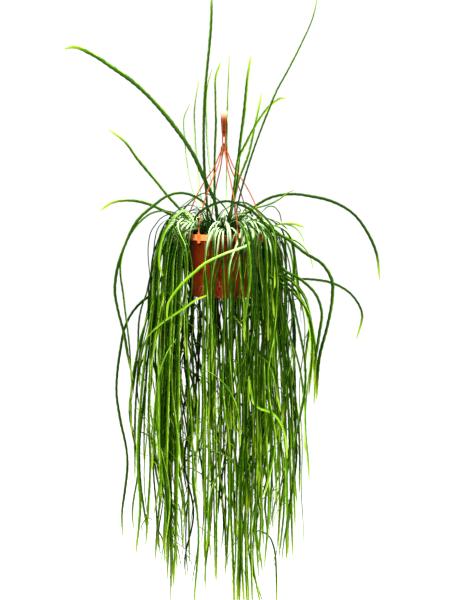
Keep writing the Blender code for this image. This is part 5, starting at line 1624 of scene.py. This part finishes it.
def make_plant(settings, material):
    """All clumps, each with its woody crown: one piece for each clump of the part."""
    plant = Growth(settings)
    for add in (plant.leading, plant.set_by_hand, plant.fine, plant.forks, plant.arcs, plant.twigs,
                plant.hairs):
        add()
    for crown, (azimuth, ring, radius) in enumerate(plant.crowns):
        sheaf = plant.sheaves[crown]
        sheaf.add(crown_rings(plant.rng, azimuth, ring, radius), (0.5, 0.0, 0.0), (0.0, 0.0, 2.0))
        if crown < UPRIGHT:
            label = "stem_clump_%02d" % (crown + 1)
        else:
            label = "upright_stem_%02d" % (crown + 1 - UPRIGHT)
        show("grown_" + label, sheaf.mesh("grown_" + label), material, [label], 46.0)


def area_light(name, place, size, power):
    """A round lamp that faces the plant's middle."""
    lamp = bpy.data.lights.new(name, "AREA")
    lamp.shape, lamp.size, lamp.energy = "DISK", size, power
    made = bpy.data.objects.new(name, lamp)
    bpy.context.scene.collection.objects.link(made)
    made.location = place
    to = LIGHT_TARGET - np.array(place)
    tilt = math.acos(-to[2] / np.linalg.norm(to))
    made.rotation_euler = (tilt, 0.0, math.atan2(to[1], to[0]) - math.pi / 2)


def sheet(name, corners, material):
    """A flat four-sided sheet with its face towards the order of its corners."""
    mesh = bpy.data.meshes.new(name)
    mesh.from_pydata(corners, [], [(0, 1, 2, 3)])
    mesh.materials.append(material)
    made = bpy.data.objects.new(name, mesh)
    bpy.context.scene.collection.objects.link(made)
    made.visible_diffuse = made.visible_glossy = False
    return made


def make_stage(settings):
    """The pale floor, three lamps, the even daylight and the camera."""
    scene = bpy.context.scene
    floor, far = settings.floor, FLOOR_REACH
    paper = plain_material("pale_paper", (0.9, 0.9, 0.9), 0.9)
    sheet("floor", [(-far, -far, floor), (far, -far, floor), (far, far, floor), (-far, far, floor)], paper)
    for name, place, size, power in LAMPS:
        area_light(name, place, size, getattr(settings, power))
    world = bpy.data.worlds.new("even_daylight")
    world.use_nodes = True
    w = Wiring(world.node_tree)
    ground = world.node_tree.nodes["Background"]
    seen = w.add("ShaderNodeLightPath").outputs["Is Camera Ray"]
    ground.inputs["Color"].default_value = WHITE
    w.feed(ground.inputs["Strength"], w.plus(settings.air, w.times(seen, SEEN_AIR - settings.air)))
    scene.world = world
    scene.view_settings.view_transform = "Standard"
    lens = bpy.data.cameras.new("camera")
    lens.lens, lens.sensor_width = settings.lens, 36.0
    lens.clip_end = 60.0
    camera = bpy.data.objects.new("camera", lens)
    scene.collection.objects.link(camera)
    tilt = settings.elevation
    camera.location = CAMERA_TARGET + settings.distance * np.array([0.0, -math.cos(tilt), math.sin(tilt)])
    camera.rotation_euler = (math.pi / 2 - tilt, 0.0, 0.0)
    scene.camera = camera


class CACTUS_OT_pot(bpy.types.Operator):
    """Make the pot with its collar, lip and drain holes"""
    bl_idname = "cactus.pot"
    bl_label = "Pot"

    def execute(self, context):
        settings = context.scene.cactus_pot
        make_pot(settings, pot_material(settings, shared_wear_and_shade()))
        return {"FINISHED"}


class CACTUS_OT_soil(bpy.types.Operator):
    """Fill the pot with damp soil"""
    bl_idname = "cactus.soil"
    bl_label = "Soil"

    def execute(self, context):
        settings = context.scene.cactus_pot
        make_soil(settings, soil_material(settings))
        return {"FINISHED"}


class CACTUS_OT_hanger(bpy.types.Operator):
    """Make the hook with its hub, and the six strands with their clips"""
    bl_idname = "cactus.hanger"
    bl_label = "Hanger"

    def execute(self, context):
        settings = context.scene.cactus_pot
        make_hook(hook_material(settings, shared_wear_and_shade()))
        make_strands(strand_material(settings, shared_wear_and_shade()))
        return {"FINISHED"}


class CACTUS_OT_plant(bpy.types.Operator):
    """Grow every clump of stems from the pot"""
    bl_idname = "cactus.plant"
    bl_label = "Plant"

    def execute(self, context):
        settings = context.scene.cactus_plant
        make_plant(settings, stem_material(settings))
        return {"FINISHED"}


class CACTUS_OT_stage(bpy.types.Operator):
    """Set up floor, light and camera"""
    bl_idname = "cactus.stage"
    bl_label = "Stage"

    def execute(self, context):
        make_stage(context.scene.cactus_stage)
        return {"FINISHED"}


def shared_wear_and_shade():
    """The group of wear and painted shade, built once and then shared."""
    return bpy.data.node_groups.get("plastic_weathering") or make_wear_and_shade_group()


OPERATORS = (CACTUS_OT_pot, CACTUS_OT_soil, CACTUS_OT_hanger, CACTUS_OT_plant, CACTUS_OT_stage)
SETTINGS = (("cactus_plant", PlantSettings), ("cactus_pot", PotSettings), ("cactus_stage", StageSettings))


class CACTUS_PT_panel(bpy.types.Panel):
    """Every piece of the plant and its stage, with their sizes and colours"""
    bl_idname = "CACTUS_PT_panel"
    bl_label = "Hanging Cactus"
    bl_space_type = "VIEW_3D"
    bl_region_type = "UI"
    bl_category = "Plant"

    def draw(self, context):
        for operator in OPERATORS:
            self.layout.operator(operator.bl_idname)
        for name, group in SETTINGS:
            box = self.layout.box()
            for key in group.__annotations__:
                box.prop(getattr(context.scene, name), key)


def register():
    """Make the settings, the operators and the panel known."""
    for name, group in SETTINGS:
        bpy.utils.register_class(group)
        setattr(bpy.types.Scene, name, PointerProperty(type=group))
    for shown in OPERATORS + (CACTUS_PT_panel,):
        bpy.utils.register_class(shown)


def unregister():
    """Take them out again, the last one first."""
    for shown in reversed(OPERATORS + (CACTUS_PT_panel,)):
        bpy.utils.unregister_class(shown)
    for name, group in reversed(SETTINGS):
        delattr(bpy.types.Scene, name)
        bpy.utils.unregister_class(group)


def main():
    """Make every piece and the stage."""
    register()
    bpy.ops.cactus.pot()
    bpy.ops.cactus.soil()
    bpy.ops.cactus.hanger()
    bpy.ops.cactus.plant()
    bpy.ops.cactus.stage()


if __name__ == "__main__":
    main()
